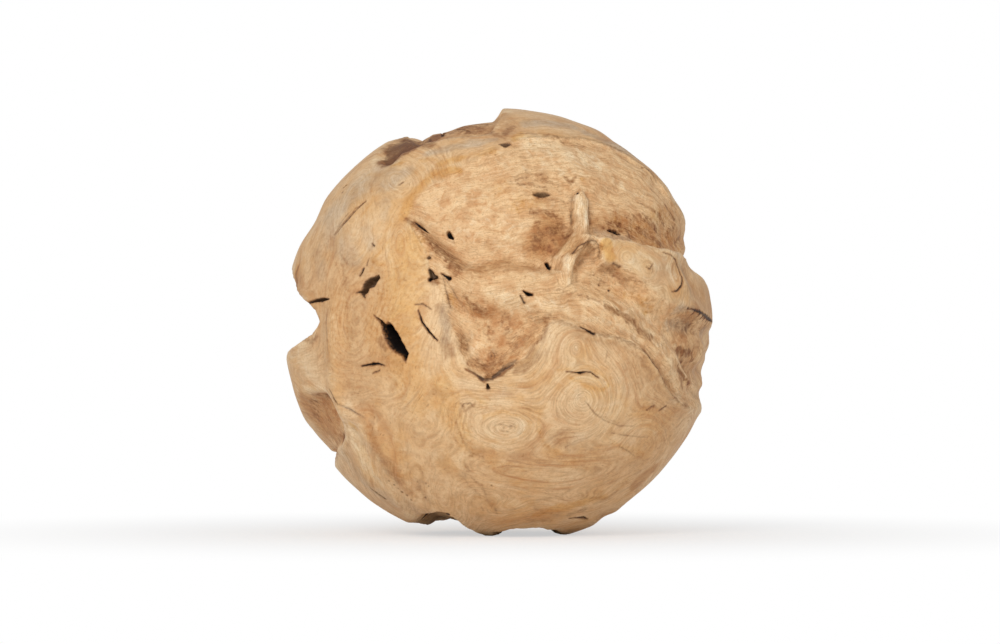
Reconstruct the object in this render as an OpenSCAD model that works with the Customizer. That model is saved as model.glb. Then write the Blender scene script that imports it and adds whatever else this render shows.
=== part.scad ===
// Decorative ball cut from one piece of teak root. The sound wood is sanded to a sphere, and
// the hollows that the root grew around keep their weathered skin: a wide one across the top
// of the front with a forked rootlet in it, a deep bowl under it, a thick side root that runs
// down to the right, bites out of both sides, and a hollow underneath that the ball stands over.

/* [Ball] */
// Diameter of the sphere that the sound wood is sanded to
ball_d = 300; // [200:10:400]
// Height of the sphere's middle over the floor, for each 300 mm of its diameter
seat_h = 142.6; // [142:0.1:144]

/* [Surface] */
// Facets along each edge of the icosahedron that the surface starts from
facets = 22; // [8:1:22]
// How far the facets are drawn together on the carved front
front_bias = 0.15; // [0:0.05:0.4]

/* [Hollows] */
// Depth of the weathered skin below the sanded sphere
skin_deep = 3.5; // [2:0.1:6]
// Depth of the wide hollow across the top, below the skin
upper_deep = 13; // [8:0.5:16]
// Depth of the bowl under it, below the skin
bowl_deep = 9; // [6:0.5:12]
// Depth of the slope under the shoulder, below the skin
slope_deep = 7; // [4:0.5:9]
// Depth of the saddle across the top edge
saddle_deep = 9; // [6:0.5:12]
// Depth of the bite out of the left side
bite_deep = 25.5; // [15:0.5:28]
// Depth of the hollow underneath
under_deep = 14; // [10:0.5:18]
// Depth of the large hollow in the back
back_deep = 20; // [12:0.5:26]

/* [Rootlet] */
// Height of the forked rootlet where it forks
rootlet_h = 11; // [6:0.5:14]
// Facets round the rootlet
rootlet_facets = 8; // [6:1:10]

/* [Cracks] */
// Depth of the open hole on the left of the front
hole_deep = 22; // [12:1:30]
// Depth of the drying cracks and worm holes
crack_deep = 5; // [3:0.5:8]

/* [Hidden] */

// The form is laid out for a sphere of this radius, and scaled to the one asked for.
R = 150;
// The notches in the two sides differ, so the middle of the ball's box lies off the sphere's.
box_middle = [-1.98, 1.25, 0];
// Points are rounded to this step, so that neighbouring patches meet.
step = 0.001;
// The rootlet's knuckles are this wide for each half width, as their flats lie inside a round.
knuckle_d = 2.2;

// Outlines are drawn on an equal-area chart of the front: x to the right and z up, in
// millimetres from the point that faces the viewer, 212 out to the edge of the front half.
// The back has a chart of its own, seen from behind. Each point of an outline is
// [x, z, width of the bank inside it], and each point of a line is [x, z, half width, height].

// Edge of the weathered skin
skin_edge = [
    [-68, 76, 8], [-68, 88, 10], [-61, 98, 12], [-50, 106, 12], [-36, 116, 12], [-24, 125, 12],
    [-10, 132, 10], [1, 139, 6], [12, 146, 5], [28, 150, 5], [45, 153, 5], [62, 157, 5],
    [82, 156, 5], [100, 153, 5], [120, 143, 5], [137, 131, 5], [155, 114, 5], [178, 108, 10],
    [225, 112, 16], [252, 95, 16], [250, 70, 16], [215, 60, 14], [180, 57, 10], [155, 55, 8],
    [136, 58, 6], [118, 58, 6], [99, 59, 5], [82, 61, 5], [71, 60, 5], [71, 46, 5], [80, 46, 5],
    [91, 42, 5], [102, 34, 5], [110, 28, 8], [120, 22, 8], [133, 18, 8], [146, 14, 6],
    [170, 10, 6], [190, 8, 8], [225, 0, 16], [240, -30, 16], [228, -66, 16], [200, -75, 8],
    [170, -70, 5], [152, -67, 5], [137, -60, 5], [126, -51, 5], [117, -40, 5], [107, -27, 4],
    [97, -17, 4], [89, -11, 4], [77, -8, 4], [60, -5, 4], [48, 0, 4], [39, 4, 4], [32, 2, 4],
    [29, -4, 6], [25, -11, 6], [17, -19, 5], [8, -25, 4], [-2, -31, 4], [-10, -36, 4],
    [-16, -33, 4], [-23, -28, 4], [-29, -20, 5], [-31, -12, 6], [-35, 0, 8], [-39, 10, 8],
    [-41, 22, 8], [-47, 30, 5], [-51, 44, 6], [-57, 58, 6], [-63, 68, 6]];
// Wide hollow across the top of the front
upper_edge = [
    [-68, 76, 14], [-65, 88, 28], [-54, 101, 38], [-35, 115, 52], [-10, 129, 66],
    [15, 145, 80], [45, 152, 88], [80, 155, 90], [110, 147, 85], [140, 128, 70],
    [165, 112, 55], [200, 110, 50], [240, 112, 40], [264, 84, 40], [244, 40, 34],
    [212, 33, 32], [182, 42, 24], [158, 52, 14], [138, 58, 10], [118, 58, 10], [99, 60, 9],
    [84, 62, 9], [72, 62, 8], [60, 60, 8], [50, 48, 8], [44, 36, 8], [34, 34, 12],
    [20, 35, 14], [0, 37, 16], [-18, 35, 14], [-28, 37, 9], [-40, 46, 8], [-52, 59, 8],
    [-62, 70, 8]];
// Pocket in it, left of the rootlet
pocket_edge = [
    [16, 56, 16], [20, 76, 18], [34, 90, 18], [52, 88, 8], [56, 74, 7], [52, 62, 7],
    [43, 50, 8], [32, 44, 14], [22, 48, 16]];
// Bowl under the wide hollow
bowl_edge = [
    [-42, 22, 18], [-34, 34, 22], [-14, 28, 24], [8, 24, 24], [24, 18, 16], [34, 6, 10],
    [30, -3, 9], [25, -11, 8], [17, -19, 8], [7, -25, 7], [-2, -31, 6], [-10, -36, 6],
    [-17, -32, 6], [-24, -27, 8], [-31, -18, 11], [-35, -6, 15], [-40, 6, 17]];
// Slope under the shoulder, down to the side root
slope_edge = [
    [47, 42, 8], [54, 54, 6], [64, 59, 5], [70, 55, 5], [71, 46, 5], [80, 46, 5], [91, 41, 5],
    [101, 33, 6], [110, 27, 12], [122, 22, 14], [135, 17, 14], [148, 13, 14], [180, 7, 16],
    [215, 0, 20], [234, -25, 20], [228, -56, 20], [200, -68, 14], [170, -56, 12],
    [148, -40, 10], [133, -26, 10], [118, -10, 12], [98, 4, 12], [78, 14, 12], [58, 20, 14],
    [46, 28, 10]];
// Lower right end of the shoulder
lobe_edge = [
    [142, 50, 14], [165, 60, 20], [200, 66, 24], [240, 64, 30], [268, 30, 30], [268, -40, 30],
    [240, -60, 30], [205, -50, 30], [180, -20, 30], [160, 5, 24], [148, 20, 18], [140, 34, 14]];
// Saddle across the top edge, left of the lip
saddle_edge = [
    [-62, 146, 14], [-40, 150, 16], [-20, 148, 14], [-9, 152, 9], [-3, 168, 4], [1, 200, 3],
    [1, 235, 22], [-20, 256, 26], [-60, 256, 20], [-98, 238, 16], [-104, 205, 14],
    [-94, 178, 14], [-76, 156, 12]];
// Scoop beside the saddle
top_scoop_edge = [
    [-103, 134, 6], [-97, 129, 6], [-88, 128, 6], [-80, 138, 8], [-66, 143, 8], [-59, 148, 8],
    [-64, 170, 10], [-74, 205, 14], [-100, 205, 14], [-112, 170, 10], [-108, 146, 8]];
// Bite out of the left side
bite_edge = [
    [-139, 4, 34], [-144, 13, 16], [-157, 21, 16], [-175, 32, 22], [-195, 54, 36],
    [-225, 62, 38], [-262, 52, 50], [-278, 0, 50], [-258, -26, 26], [-225, -27, 20],
    [-190, -20, 18], [-166, -14, 14], [-147, -6, 12]];
// Scoop low on the left side
side_scoop_edge = [
    [-165, -54, 16], [-150, -50, 8], [-136, -50, 6], [-128, -55, 6], [-123, -63, 7],
    [-120, -74, 8], [-122, -88, 8], [-130, -98, 7], [-141, -108, 7], [-153, -120, 6],
    [-168, -135, 6], [-184, -146, 8], [-193, -128, 22], [-197, -106, 34], [-192, -84, 34],
    [-180, -62, 24]];
// Hollow that the ball stands over
under_edge = [
    [-9, -172, 10], [6, -164, 12], [30, -164, 14], [46, -172, 12], [56, -188, 12],
    [58, -220, 20], [56, -250, 26], [40, -268, 20], [15, -268, 20], [-4, -250, 26],
    [-9, -215, 18]];
// Hollow left of it
under_left_edge = [
    [-66, -150, 12], [-54, -146, 12], [-40, -150, 14], [-28, -165, 16], [-16, -185, 18],
    [-10, -215, 20], [-16, -245, 28], [-56, -250, 20], [-82, -225, 20], [-82, -190, 14],
    [-74, -166, 12]];
// Flatter lower right flank
flank_edge = [
    [80, -170, 40], [120, -110, 40], [160, -75, 24], [200, -78, 30], [235, -110, 40],
    [200, -190, 50], [120, -225, 50]];
// Flatter crescent over the wide hollow
crescent_edge = [
    [95, 165, 24], [122, 148, 14], [140, 135, 10], [158, 118, 8], [185, 112, 14],
    [205, 120, 24], [225, 150, 40], [170, 210, 50], [110, 225, 50], [85, 195, 40]];
// Large hollow in the back
back_edge = [
    [-20, 100, 40], [40, 118, 50], [95, 95, 40], [120, 40, 30], [95, -10, 24], [50, -25, 24],
    [5, 0, 20], [-30, 45, 24]];
// Smaller hollow low in the back
back_low_edge = [
    [-120, -20, 24], [-70, -10, 24], [-40, -45, 20], [-60, -95, 24], [-110, -100, 24],
    [-140, -60, 24]];
// Crest of the side root
side_root = [
    [10, 22, 10, 1.5], [30, 14, 10, 3], [60, 7, 11, 3.5], [83, 0, 11, 3.5], [102, -8, 11, 3],
    [122, -27, 10, 3], [141, -50, 10, 2.5], [168, -66, 10, 2]];
// Crease under the side root
crease = [
    [29, 6, 5, -2], [44, 2, 5, -3], [60, -4, 5, -3], [77, -7, 5, -3], [89, -10, 5, -3],
    [97, -16, 5, -3], [107, -26, 5, -3], [117, -39, 5, -3], [126, -50, 5, -3],
    [137, -59, 5, -2.5], [152, -66, 5, -2]];
// Groove along the foot of the wide hollow, from its left tip
tip_groove = [
    [-63, 73, 7, -3], [-54, 64, 8, -4], [-43, 52, 9, -5], [-33, 43, 9, -5], [-23, 36, 10, -2]];
// Valley over the shoulder
shoulder_valley = [
    [30, 58, 16, -2], [45, 68, 16, -2], [75, 74, 14, -2], [100, 71, 16, -3], [125, 67, 16, -3],
    [150, 68, 18, -2]];
// Stem of the rootlet, whose heights stand over the hollow's floor
rootlet_stem = [
    [61.5, 98.5, 7, 6.5], [61, 90, 6.4, 9], [60, 79, 5.8, 10], [58.5, 68, 6.6, 11]];
// Left leg of the rootlet
rootlet_left = [
    [58.5, 68, 6.6, 11], [51.5, 58, 6.6, 9.5], [45, 50, 7, 7], [42.5, 41, 7, 4], [43, 32, 5, 1]];
// Right leg of the rootlet
rootlet_right = [
    [58.5, 68, 6.6, 11], [65, 63, 6, 7], [72, 60, 5, 4], [80, 58, 4, 1.5]];
// Valley down the left side
side_valley = [
    [-126, 26, 14, -1], [-124, 5, 14, -4], [-122, -20, 14, -4.5], [-124, -45, 14, -4.5],
    [-117, -60, 14, -5], [-103, -68, 14, -5], [-92, -86, 14, -4.5], [-82, -105, 14, -4],
    [-71, -128, 13, -3], [-62, -150, 12, -2]];
// Ridge between the flutes low on the left
flute_ridge = [
    [-118, -70, 10, 1.5], [-112, -95, 12, 2], [-105, -125, 14, 2], [-95, -150, 12, 1]];
// Flute beside it
flute_groove = [
    [-98, -95, 10, -1.5], [-90, -120, 10, -2], [-82, -145, 10, -2], [-78, -160, 10, -1]];
// Sill between the tip groove and the bowl
sill = [
    [-50, 44, 6, 2], [-42, 38, 7, 3], [-32, 28, 7, 2.5], [-24, 22, 7, 1]];
// Small pocket in the sill
sill_pocket = [
    [-26, 20, 5, -1], [-20, 14, 6, -3], [-12, 10, 6, -2]];

// Notches where hollows run out of the sides, seen from the front:
// [angle, half angle, depth, half length from front to back]
notches = [
    [18.3, 5.3, 5.9, 60], [27, 7.5, 4, 60], [34, 8, 2.6, 40], [106, 6, 1.8, 30],
    [118.5, 4, 1.3, 40], [151, 8, 2, 35], [169, 3, 2.2, 30], [184.8, 3.8, 3, 30],
    [218, 2.2, 3.4, 30], [247.2, 3.5, 3, 30], [265, 6.5, 3, 40], [271, 3, 1.5, 30],
    [298, 4, 2, 30], [335, 5, 1.6, 30], [341, 4.8, 5.6, 50], [347, 4, 4.2, 50],
    [354, 3, -3.2, 40]];

// Slow waves of the weathered skin: [direction, length of a wave, height]
swell = [
    [[0.83, 0.25, 0.50], 43, 0.5], [[-0.36, 0.18, 0.91], 34, 0.45],
    [[0.68, -0.42, -0.60], 27, 0.4], [[0.19, 0.85, 0.48], 52, 0.4],
    [[0.60, 0.07, -0.80], 22, 0.3]];

// Lines of the cracks and holes: [x, z, half width]
open_hole = [[-87, 8, 1.5], [-80, 0, 4], [-75, -8, 5.5], [-70, -14, 4.5], [-66, -22, 1.2]];
branched_hole = [[-103, 24, 2], [-98, 28, 2.8], [-93, 32, 2.4], [-87, 34, 1.5]];
top_slot = [[-4, 138, 1.5], [0, 140, 2.6], [6, 142, 1.2]];
bite_slot = [[-158, 21, 1.5], [-147, 24, 2.5], [-138, 22, 2], [-131, 21, 1.2]];
shrinkage_cracks = [
    [[-101, -28, 0.9], [-94, -25, 1.6], [-84, -26, 0.8]],
    [[-56, 10, 0.8], [-53, 2, 1.1], [-48, -5, 1], [-44, -9, 0.6]],
    [[44, -30, 0.7], [51, -31, 1.6], [58, -30, 1], [65, -34, 0.7]],
    [[-102, 38, 0.8], [-98, 45, 0.8]],
    [[-113, -136, 0.8], [-100, -143, 1]],
    [[58, -157, 0.8], [66, -161, 1.6], [72, -165, 0.8]],
    [[-51, 166, 1.2], [-48, 153, 2]],
    [[26, 101, 1.6], [36, 102, 1.4]],
    [[-61, 75, 1.4], [-58, 71, 1.6]],
    [[-43, 72, 1.8], [-38, 68, 2]]];
worm_holes = [[36, 47, 2], [-49, 46, 2.2], [-48, 32, 2.6], [16, 22, 2], [92, 77, 2.6], [-23, -54, 2]];

function smooth(t) = let (u = min(1, max(0, t))) u * u * (3 - 2 * u);
function bank(t) = (smooth(t) + sin(90 * min(1, max(0, t)))) / 2;

// Charts of the front and of the back, and the way back to a direction from the front's
function chart(d) = let (k = R * sqrt(2 / max(1 - d.y, 1e-6))) [k * d.x, k * d.z];
function back_chart(d) = let (k = R * sqrt(2 / max(1 + d.y, 1e-6))) [-k * d.x, k * d.z];
function from_chart(p) =
    let (q = [p.x, p.y] / R, k = sqrt(1 - q * q / 4))
    [q.x * k, q * q / 2 - 1, q.y * k];

// An outline or a line as its edges, each [start, run, width there, growth of the width]
function edge(a, b) = [[a.x, a.y], [b.x - a.x, b.y - a.y], a.z, b.z - a.z];
function closed(outline) =
    [for (i = [0:len(outline) - 1]) edge(outline[i], outline[(i + 1) % len(outline)])];
function lows(outline) = [min([for (p = outline) p.x]), min([for (p = outline) p.y])];
function highs(outline) = [max([for (p = outline) p.x]), max([for (p = outline) p.y])];

// How many bank widths a point lies inside an outline, from 0 on it and outside it
function share(p, e) = min(1, max(0, (p - e[0]) * e[1] / (e[1] * e[1])));
function banks_in(p, e) = let (s = share(p, e)) norm(p - e[0] - s * e[1]) / (e[2] + s * e[3]);
function crosses(p, e) =
    (e[0].y > p.y) != (e[0].y + e[1].y > p.y)
    && p.x < e[0].x + (p.y - e[0].y) / e[1].y * e[1].x;
function is_inside(p, edges) = len([for (e = edges) if (crosses(p, e)) 1]) % 2 == 1;
function inset(p, h) =
    p.x < h[1].x || p.y < h[1].y || p.x > h[2].x || p.y > h[2].y || !is_inside(p, h[0]) ? 0
    : min([for (e = h[0]) banks_in(p, e)]);

// A hollow as its edges, its chart's box, its depth and whether its bank has a crisp edge
function hollow(outline, deep, crisp = false) =
    [closed(outline), lows(outline), highs(outline), deep, crisp];
function hollow_depth(p, h) = let (t = inset(p, h)) h[3] * (h[4] ? bank(t) : smooth(t));

// Height of a ridge, or depth of a groove, whose line is [x, z, half width, height]
function line_height(p, line) = max([for (i = [0:len(line) - 2])
    let (e = edge(line[i], line[i + 1]), s = share(p, e))
    (line[i][3] + s * (line[i + 1][3] - line[i][3]))
    * smooth(1 - norm(p - e[0] - s * e[1]) / (e[2] + s * e[3]))]);

skin = hollow(skin_edge, skin_deep, true);
front_hollows = [
    skin,
    hollow(upper_edge, upper_deep),
    hollow(pocket_edge, upper_deep / 4),
    hollow(bowl_edge, bowl_deep),
    hollow(slope_edge, slope_deep),
    hollow(lobe_edge, 5.5),
    hollow(saddle_edge, saddle_deep, true),
    hollow(top_scoop_edge, 4.5, true),
    hollow(bite_edge, bite_deep, true),
    hollow(side_scoop_edge, 8, true),
    hollow(under_edge, under_deep, true),
    hollow(under_left_edge, under_deep - 1, true),
    hollow(flank_edge, 2.2),
    hollow(crescent_edge, 2.7)];
back_hollows = [hollow(back_edge, back_deep), hollow(back_low_edge, back_deep * 0.65, true)];
ridges = [side_root, flute_ridge, sill];
grooves = [crease, tip_groove, shoulder_valley, side_valley, flute_groove, sill_pocket];

function notch_depth(d, n) =
    let (turn = abs((atan2(d.z, d.x) - n[0] + 540) % 360 - 180))
    n[2] * smooth(1 - turn / n[1]) * smooth(1.6 - 0.8 * abs(R * d.y) / n[3]);
function swell_height(d) =
    let (waves = [for (w = swell) w[2] * sin(360 * R * (d * w[0]) / w[1])]) waves * [1, 1, 1, 1, 1];
function sum(values) = values * [for (v = values) 1];

// Depth of the surface below the sphere in a direction, and the surface's distance
function depth(d) =
    let (p = chart(d), q = back_chart(d))
    sum([for (h = front_hollows) hollow_depth(p, h)])
    + sum([for (h = back_hollows) hollow_depth(q, h)])
    + sum([for (g = grooves) line_height(p, g)])
    - sum([for (r = ridges) line_height(p, r)])
    + sum([for (n = notches) notch_depth(d, n)])
    + swell_height(d) * (0.25 + smooth(inset(p, skin)));
function reach(d) = R - depth(d);

function skin_point(d) = [for (c = d * reach(d)) round(c / step) * step];
function drawn_in(v) =
    let (u = v / norm(v), lean = acos(-u.y), new = lean - front_bias * sin(lean) * 180 / PI)
    lean < 0.01 || lean > 179.99 ? u
    : [u.x * sin(new) / sin(lean), -cos(new), u.z * sin(new) / sin(lean)];

// An icosahedron with one corner at the front, and its faces seen from outside
function corner(lean, turn) = [sin(lean) * cos(turn), -cos(lean), sin(lean) * sin(turn)];
ring_lean = atan(2);
corners = concat(
    [corner(0, 0)],
    [for (i = [0:4]) corner(ring_lean, 72 * i)],
    [for (i = [0:4]) corner(180 - ring_lean, 72 * i + 36)],
    [corner(180, 0)]);
patches = [for (i = [0:4]) let (j = (i + 1) % 5)
    each [[0, 1 + i, 1 + j], [1 + i, 6 + i, 1 + j], [1 + j, 6 + i, 6 + j], [11, 6 + j, 6 + i]]];
function place(row, column) = row * (row + 1) / 2 + column;

module sanded_root() {
    points = [for (f = patches, i = [0:facets], j = [0:i])
        skin_point(drawn_in(corners[f[0]] * (facets - i) + corners[f[1]] * (i - j) + corners[f[2]] * j))];
    patch_size = place(facets, facets) + 1;
    faces = [for (f = [0:len(patches) - 1], i = [0:facets - 1], j = [0:i])
        let (o = f * patch_size, a = o + place(i, j), b = o + place(i + 1, j))
        each concat([[a, b + 1, b]], j < i ? [[a, a + 1, b + 1]] : [])];
    polyhedron(points, faces);
}

// Something set on a direction, upright on the sphere, at a distance from its middle
module on_sphere(d, distance) {
    translate(d * distance) rotate([0, acos(d.z), atan2(d.y, d.x)]) children();
}

module knuckle(p) {
    d = from_chart(p);
    on_sphere(d, reach(d) + p[3] * rootlet_h / 11 - p.z) sphere(knuckle_d * p.z / 2, $fn = rootlet_facets);
}

module limb(line) {
    for (i = [0:len(line) - 2]) hull() {
        knuckle(line[i]);
        knuckle(line[i + 1]);
    }
}

module rootlet() {
    limb(rootlet_stem);
    limb(rootlet_left);
    limb(rootlet_right);
}

// A tapered cut whose mouth stands a little proud of the surface
module wedge(p, deep) {
    d = from_chart(p);
    on_sphere(d, reach(d) - deep) cylinder(h = deep + 2, r1 = p.z * 0.4, r2 = p.z * 1.2, $fn = 6);
}

module crack(line, deep) {
    for (i = [0:len(line) - 2]) hull() {
        wedge(line[i], deep);
        wedge(line[i + 1], deep);
    }
}

module cracks() {
    crack(open_hole, hole_deep);
    crack(branched_hole, crack_deep * 2);
    crack(top_slot, crack_deep * 2);
    crack(bite_slot, crack_deep * 2);
    for (line = shrinkage_cracks) crack(line, crack_deep);
    for (p = worm_holes) wedge(p, crack_deep);
}

// What is worn off the ridges that the ball stands on
module below_floor() {
    translate([-R, -R, -R - seat_h]) cube([2 * R, 2 * R, R]);
}

module ball() {
    color("burlywood") scale(ball_d / (2 * R)) translate([0, 0, seat_h] - box_middle)
        difference() {
            union() {
                sanded_root();
                rootlet();
            }
            cracks();
            below_floor();
        }
}

ball();
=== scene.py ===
from math import cos, pi, radians, sin

import bmesh
import bpy
import numpy as np
from bpy.props import FloatProperty, FloatVectorProperty, PointerProperty
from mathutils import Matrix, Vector, noise


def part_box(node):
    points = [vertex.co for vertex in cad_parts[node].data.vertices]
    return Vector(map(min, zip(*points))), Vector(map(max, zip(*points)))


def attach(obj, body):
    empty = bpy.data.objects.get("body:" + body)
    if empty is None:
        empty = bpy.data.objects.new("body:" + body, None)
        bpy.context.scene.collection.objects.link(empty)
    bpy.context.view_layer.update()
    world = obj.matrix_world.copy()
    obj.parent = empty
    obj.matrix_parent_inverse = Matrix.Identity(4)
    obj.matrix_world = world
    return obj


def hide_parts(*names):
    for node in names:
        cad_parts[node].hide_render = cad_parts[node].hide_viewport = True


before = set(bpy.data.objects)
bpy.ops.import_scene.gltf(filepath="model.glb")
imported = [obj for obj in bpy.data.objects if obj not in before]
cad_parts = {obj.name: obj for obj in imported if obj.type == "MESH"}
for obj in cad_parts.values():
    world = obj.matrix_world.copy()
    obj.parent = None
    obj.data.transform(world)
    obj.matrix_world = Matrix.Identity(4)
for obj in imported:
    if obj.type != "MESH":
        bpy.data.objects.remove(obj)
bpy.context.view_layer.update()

bl_info = {
    "name": "Teak Root Ball",
    "version": (1, 0, 0),
    "blender": (4, 5, 0),
    "location": "View3D > Sidebar > Root Ball",
    "description": "Sanded ball of teak root with weathered hollows, a forked rootlet and rings",
    "category": "Add Mesh",
}

# ---- Layout of the form ----

# Everything on the ball is laid out in millimetres for a sphere of this radius.
R = 150.0
MM = 0.001
# The middle of the ball's box lies off the sphere's, because its two side notches differ.
BOX_MIDDLE = (-1.98, 1.25, 0.0)
# Sides of the ball, as the sign of y
FRONT = -1
BACK = 1
# How strongly the mesh is drawn together towards the front, where the detail is
FRONT_BIAS = 0.3
# How far from a crack or the edge of a hole the mesh is halved once, and again
FINE_REACH = 3
FINEST_REACH = 1.5
# Start of the random shifts of edges and stains
SHIFT_SEED = 6
# Width of the bank inside a crack, and the margin beyond a crack's line or a hole's outline
# within which they are worked out
CRACK_BANK = 0.9
CUT_MARGIN = 5
# Distance inside a crack, and inside any hole, that points well outside them are given
OUTSIDE_SLOT = -9.0
OUTSIDE_HOLE = -3.0
# Rounds of averaging that give the level against which a place is a cavity or a crest
EVENING_ROUNDS = 14
# How softly the rings go from one knot to the next, and how far round a knot they show most
KNOT_SOFTNESS = 8.0
RINGED_REACH = 30
# How softly the fibres turn from one line to the next, in square millimetres
FLOW_SOFTNESS = 60

# Outlines are drawn on an equal-area chart of the front: x to the right and z up, in
# millimetres from the point that faces the viewer, 212 out to the edge of the front half.
# The back has a chart of its own, seen from behind. A point of an outline is (x, z, width of
# the bank inside it), and a point of a line is (x, z, half width, height).
SKIN_EDGE = [
    (-68, 76, 8), (-68, 88, 10), (-61, 98, 12), (-50, 106, 12), (-36, 116, 12), (-24, 125, 12),
    (-10, 132, 10), (1, 139, 6), (12, 146, 5), (28, 150, 5), (45, 153, 5), (62, 157, 5),
    (82, 156, 5), (100, 153, 5), (120, 143, 5), (137, 131, 5), (155, 114, 5), (178, 108, 10),
    (225, 112, 16), (252, 95, 16), (250, 70, 16), (215, 60, 14), (180, 57, 10), (155, 55, 8),
    (136, 58, 6), (118, 58, 6), (99, 59, 5), (82, 61, 5), (71, 60, 5), (71, 46, 5), (80, 46, 5),
    (91, 42, 5), (102, 34, 5), (110, 28, 8), (120, 22, 8), (133, 18, 8), (146, 14, 6),
    (170, 10, 6), (190, 8, 8), (225, 0, 16), (240, -30, 16), (228, -66, 16), (200, -75, 8),
    (170, -70, 5), (152, -67, 5), (137, -60, 5), (126, -51, 5), (117, -40, 5), (107, -27, 4),
    (97, -17, 4), (89, -11, 4), (77, -8, 4), (60, -5, 4), (48, 0, 4), (39, 4, 4), (32, 2, 4),
    (29, -4, 6), (25, -11, 6), (17, -19, 5), (8, -25, 4), (-2, -31, 4), (-10, -36, 4),
    (-16, -33, 4), (-23, -28, 4), (-29, -20, 5), (-31, -12, 6), (-35, 0, 8), (-39, 10, 8),
    (-41, 22, 8), (-47, 30, 5), (-51, 44, 6), (-57, 58, 6), (-63, 68, 6)]
# Wide hollow across the top of the front
UPPER_EDGE = [
    (-68, 76, 14), (-65, 88, 28), (-54, 101, 38), (-35, 115, 52), (-10, 129, 66),
    (15, 145, 80), (45, 152, 88), (80, 155, 90), (110, 147, 85), (140, 128, 70),
    (165, 112, 55), (200, 110, 50), (240, 112, 40), (264, 84, 40), (244, 40, 34),
    (212, 33, 32), (182, 42, 24), (158, 52, 14), (138, 58, 10), (118, 58, 10), (99, 60, 9),
    (84, 62, 9), (72, 62, 8), (60, 60, 8), (50, 48, 8), (44, 36, 8), (34, 34, 12),
    (20, 35, 14), (0, 37, 16), (-18, 35, 14), (-28, 37, 9), (-40, 46, 8), (-52, 59, 8),
    (-62, 70, 8)]
# Pocket in it, left of the rootlet
POCKET_EDGE = [
    (16, 56, 16), (20, 76, 18), (34, 90, 18), (52, 88, 8), (56, 74, 7), (52, 62, 7),
    (43, 50, 8), (32, 44, 14), (22, 48, 16)]
# Bowl under the wide hollow
BOWL_EDGE = [
    (-42, 22, 18), (-34, 34, 22), (-14, 28, 24), (8, 24, 24), (24, 18, 16), (34, 6, 10),
    (30, -3, 9), (25, -11, 8), (17, -19, 8), (7, -25, 7), (-2, -31, 6), (-10, -36, 6),
    (-17, -32, 6), (-24, -27, 8), (-31, -18, 11), (-35, -6, 15), (-40, 6, 17)]
# Slope under the shoulder, down to the side root
SLOPE_EDGE = [
    (47, 42, 8), (54, 54, 6), (64, 59, 5), (70, 55, 5), (71, 46, 5), (80, 46, 5), (91, 41, 5),
    (101, 33, 6), (110, 27, 12), (122, 22, 14), (135, 17, 14), (148, 13, 14), (180, 7, 16),
    (215, 0, 20), (234, -25, 20), (228, -56, 20), (200, -68, 14), (170, -56, 12),
    (148, -40, 10), (133, -26, 10), (118, -10, 12), (98, 4, 12), (78, 14, 12), (58, 20, 14),
    (46, 28, 10)]
# Lower right end of the shoulder
LOBE_EDGE = [
    (142, 50, 14), (165, 60, 20), (200, 66, 24), (240, 64, 30), (268, 30, 30), (268, -40, 30),
    (240, -60, 30), (205, -50, 30), (180, -20, 30), (160, 5, 24), (148, 20, 18), (140, 34, 14)]
# Saddle across the top edge, left of the lip
SADDLE_EDGE = [
    (-62, 146, 14), (-40, 150, 16), (-20, 148, 14), (-9, 152, 9), (-3, 168, 4), (1, 200, 3),
    (1, 235, 22), (-20, 256, 26), (-60, 256, 20), (-98, 238, 16), (-104, 205, 14),
    (-94, 178, 14), (-76, 156, 12)]
# Scoop beside the saddle
TOP_SCOOP_EDGE = [
    (-103, 134, 6), (-97, 129, 6), (-88, 128, 6), (-80, 138, 8), (-66, 143, 8), (-59, 148, 8),
    (-64, 170, 10), (-74, 205, 14), (-100, 205, 14), (-112, 170, 10), (-108, 146, 8)]
# Bite out of the left side
BITE_EDGE = [
    (-139, 4, 34), (-144, 13, 16), (-157, 21, 16), (-175, 32, 22), (-195, 54, 36),
    (-225, 62, 38), (-262, 52, 50), (-278, 0, 50), (-258, -26, 26), (-225, -27, 20),
    (-190, -20, 18), (-166, -14, 14), (-147, -6, 12)]
# Scoop low on the left side
SIDE_SCOOP_EDGE = [
    (-165, -54, 16), (-150, -50, 8), (-136, -50, 6), (-128, -55, 6), (-123, -63, 7),
    (-120, -74, 8), (-122, -88, 8), (-130, -98, 7), (-141, -108, 7), (-153, -120, 6),
    (-168, -135, 6), (-184, -146, 8), (-193, -128, 22), (-197, -106, 34), (-192, -84, 34),
    (-180, -62, 24)]
# Hollow that the ball stands over
UNDER_EDGE = [
    (-9, -172, 10), (6, -164, 12), (30, -164, 14), (46, -172, 12), (56, -188, 12),
    (58, -220, 20), (56, -250, 26), (40, -268, 20), (15, -268, 20), (-4, -250, 26),
    (-9, -215, 18)]
# Hollow left of it
UNDER_LEFT_EDGE = [
    (-66, -150, 12), (-54, -146, 12), (-40, -150, 14), (-28, -165, 16), (-16, -185, 18),
    (-10, -215, 20), (-16, -245, 28), (-56, -250, 20), (-82, -225, 20), (-82, -190, 14),
    (-74, -166, 12)]
# Flatter lower right flank
FLANK_EDGE = [
    (80, -170, 40), (120, -110, 40), (160, -75, 24), (200, -78, 30), (235, -110, 40),
    (200, -190, 50), (120, -225, 50)]
# Flatter crescent over the wide hollow
CRESCENT_EDGE = [
    (95, 165, 24), (122, 148, 14), (140, 135, 10), (158, 118, 8), (185, 112, 14),
    (205, 120, 24), (225, 150, 40), (170, 210, 50), (110, 225, 50), (85, 195, 40)]
# Large hollow in the back
BACK_EDGE = [
    (-20, 100, 40), (40, 118, 50), (95, 95, 40), (120, 40, 30), (95, -10, 24), (50, -25, 24),
    (5, 0, 20), (-30, 45, 24)]
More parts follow.
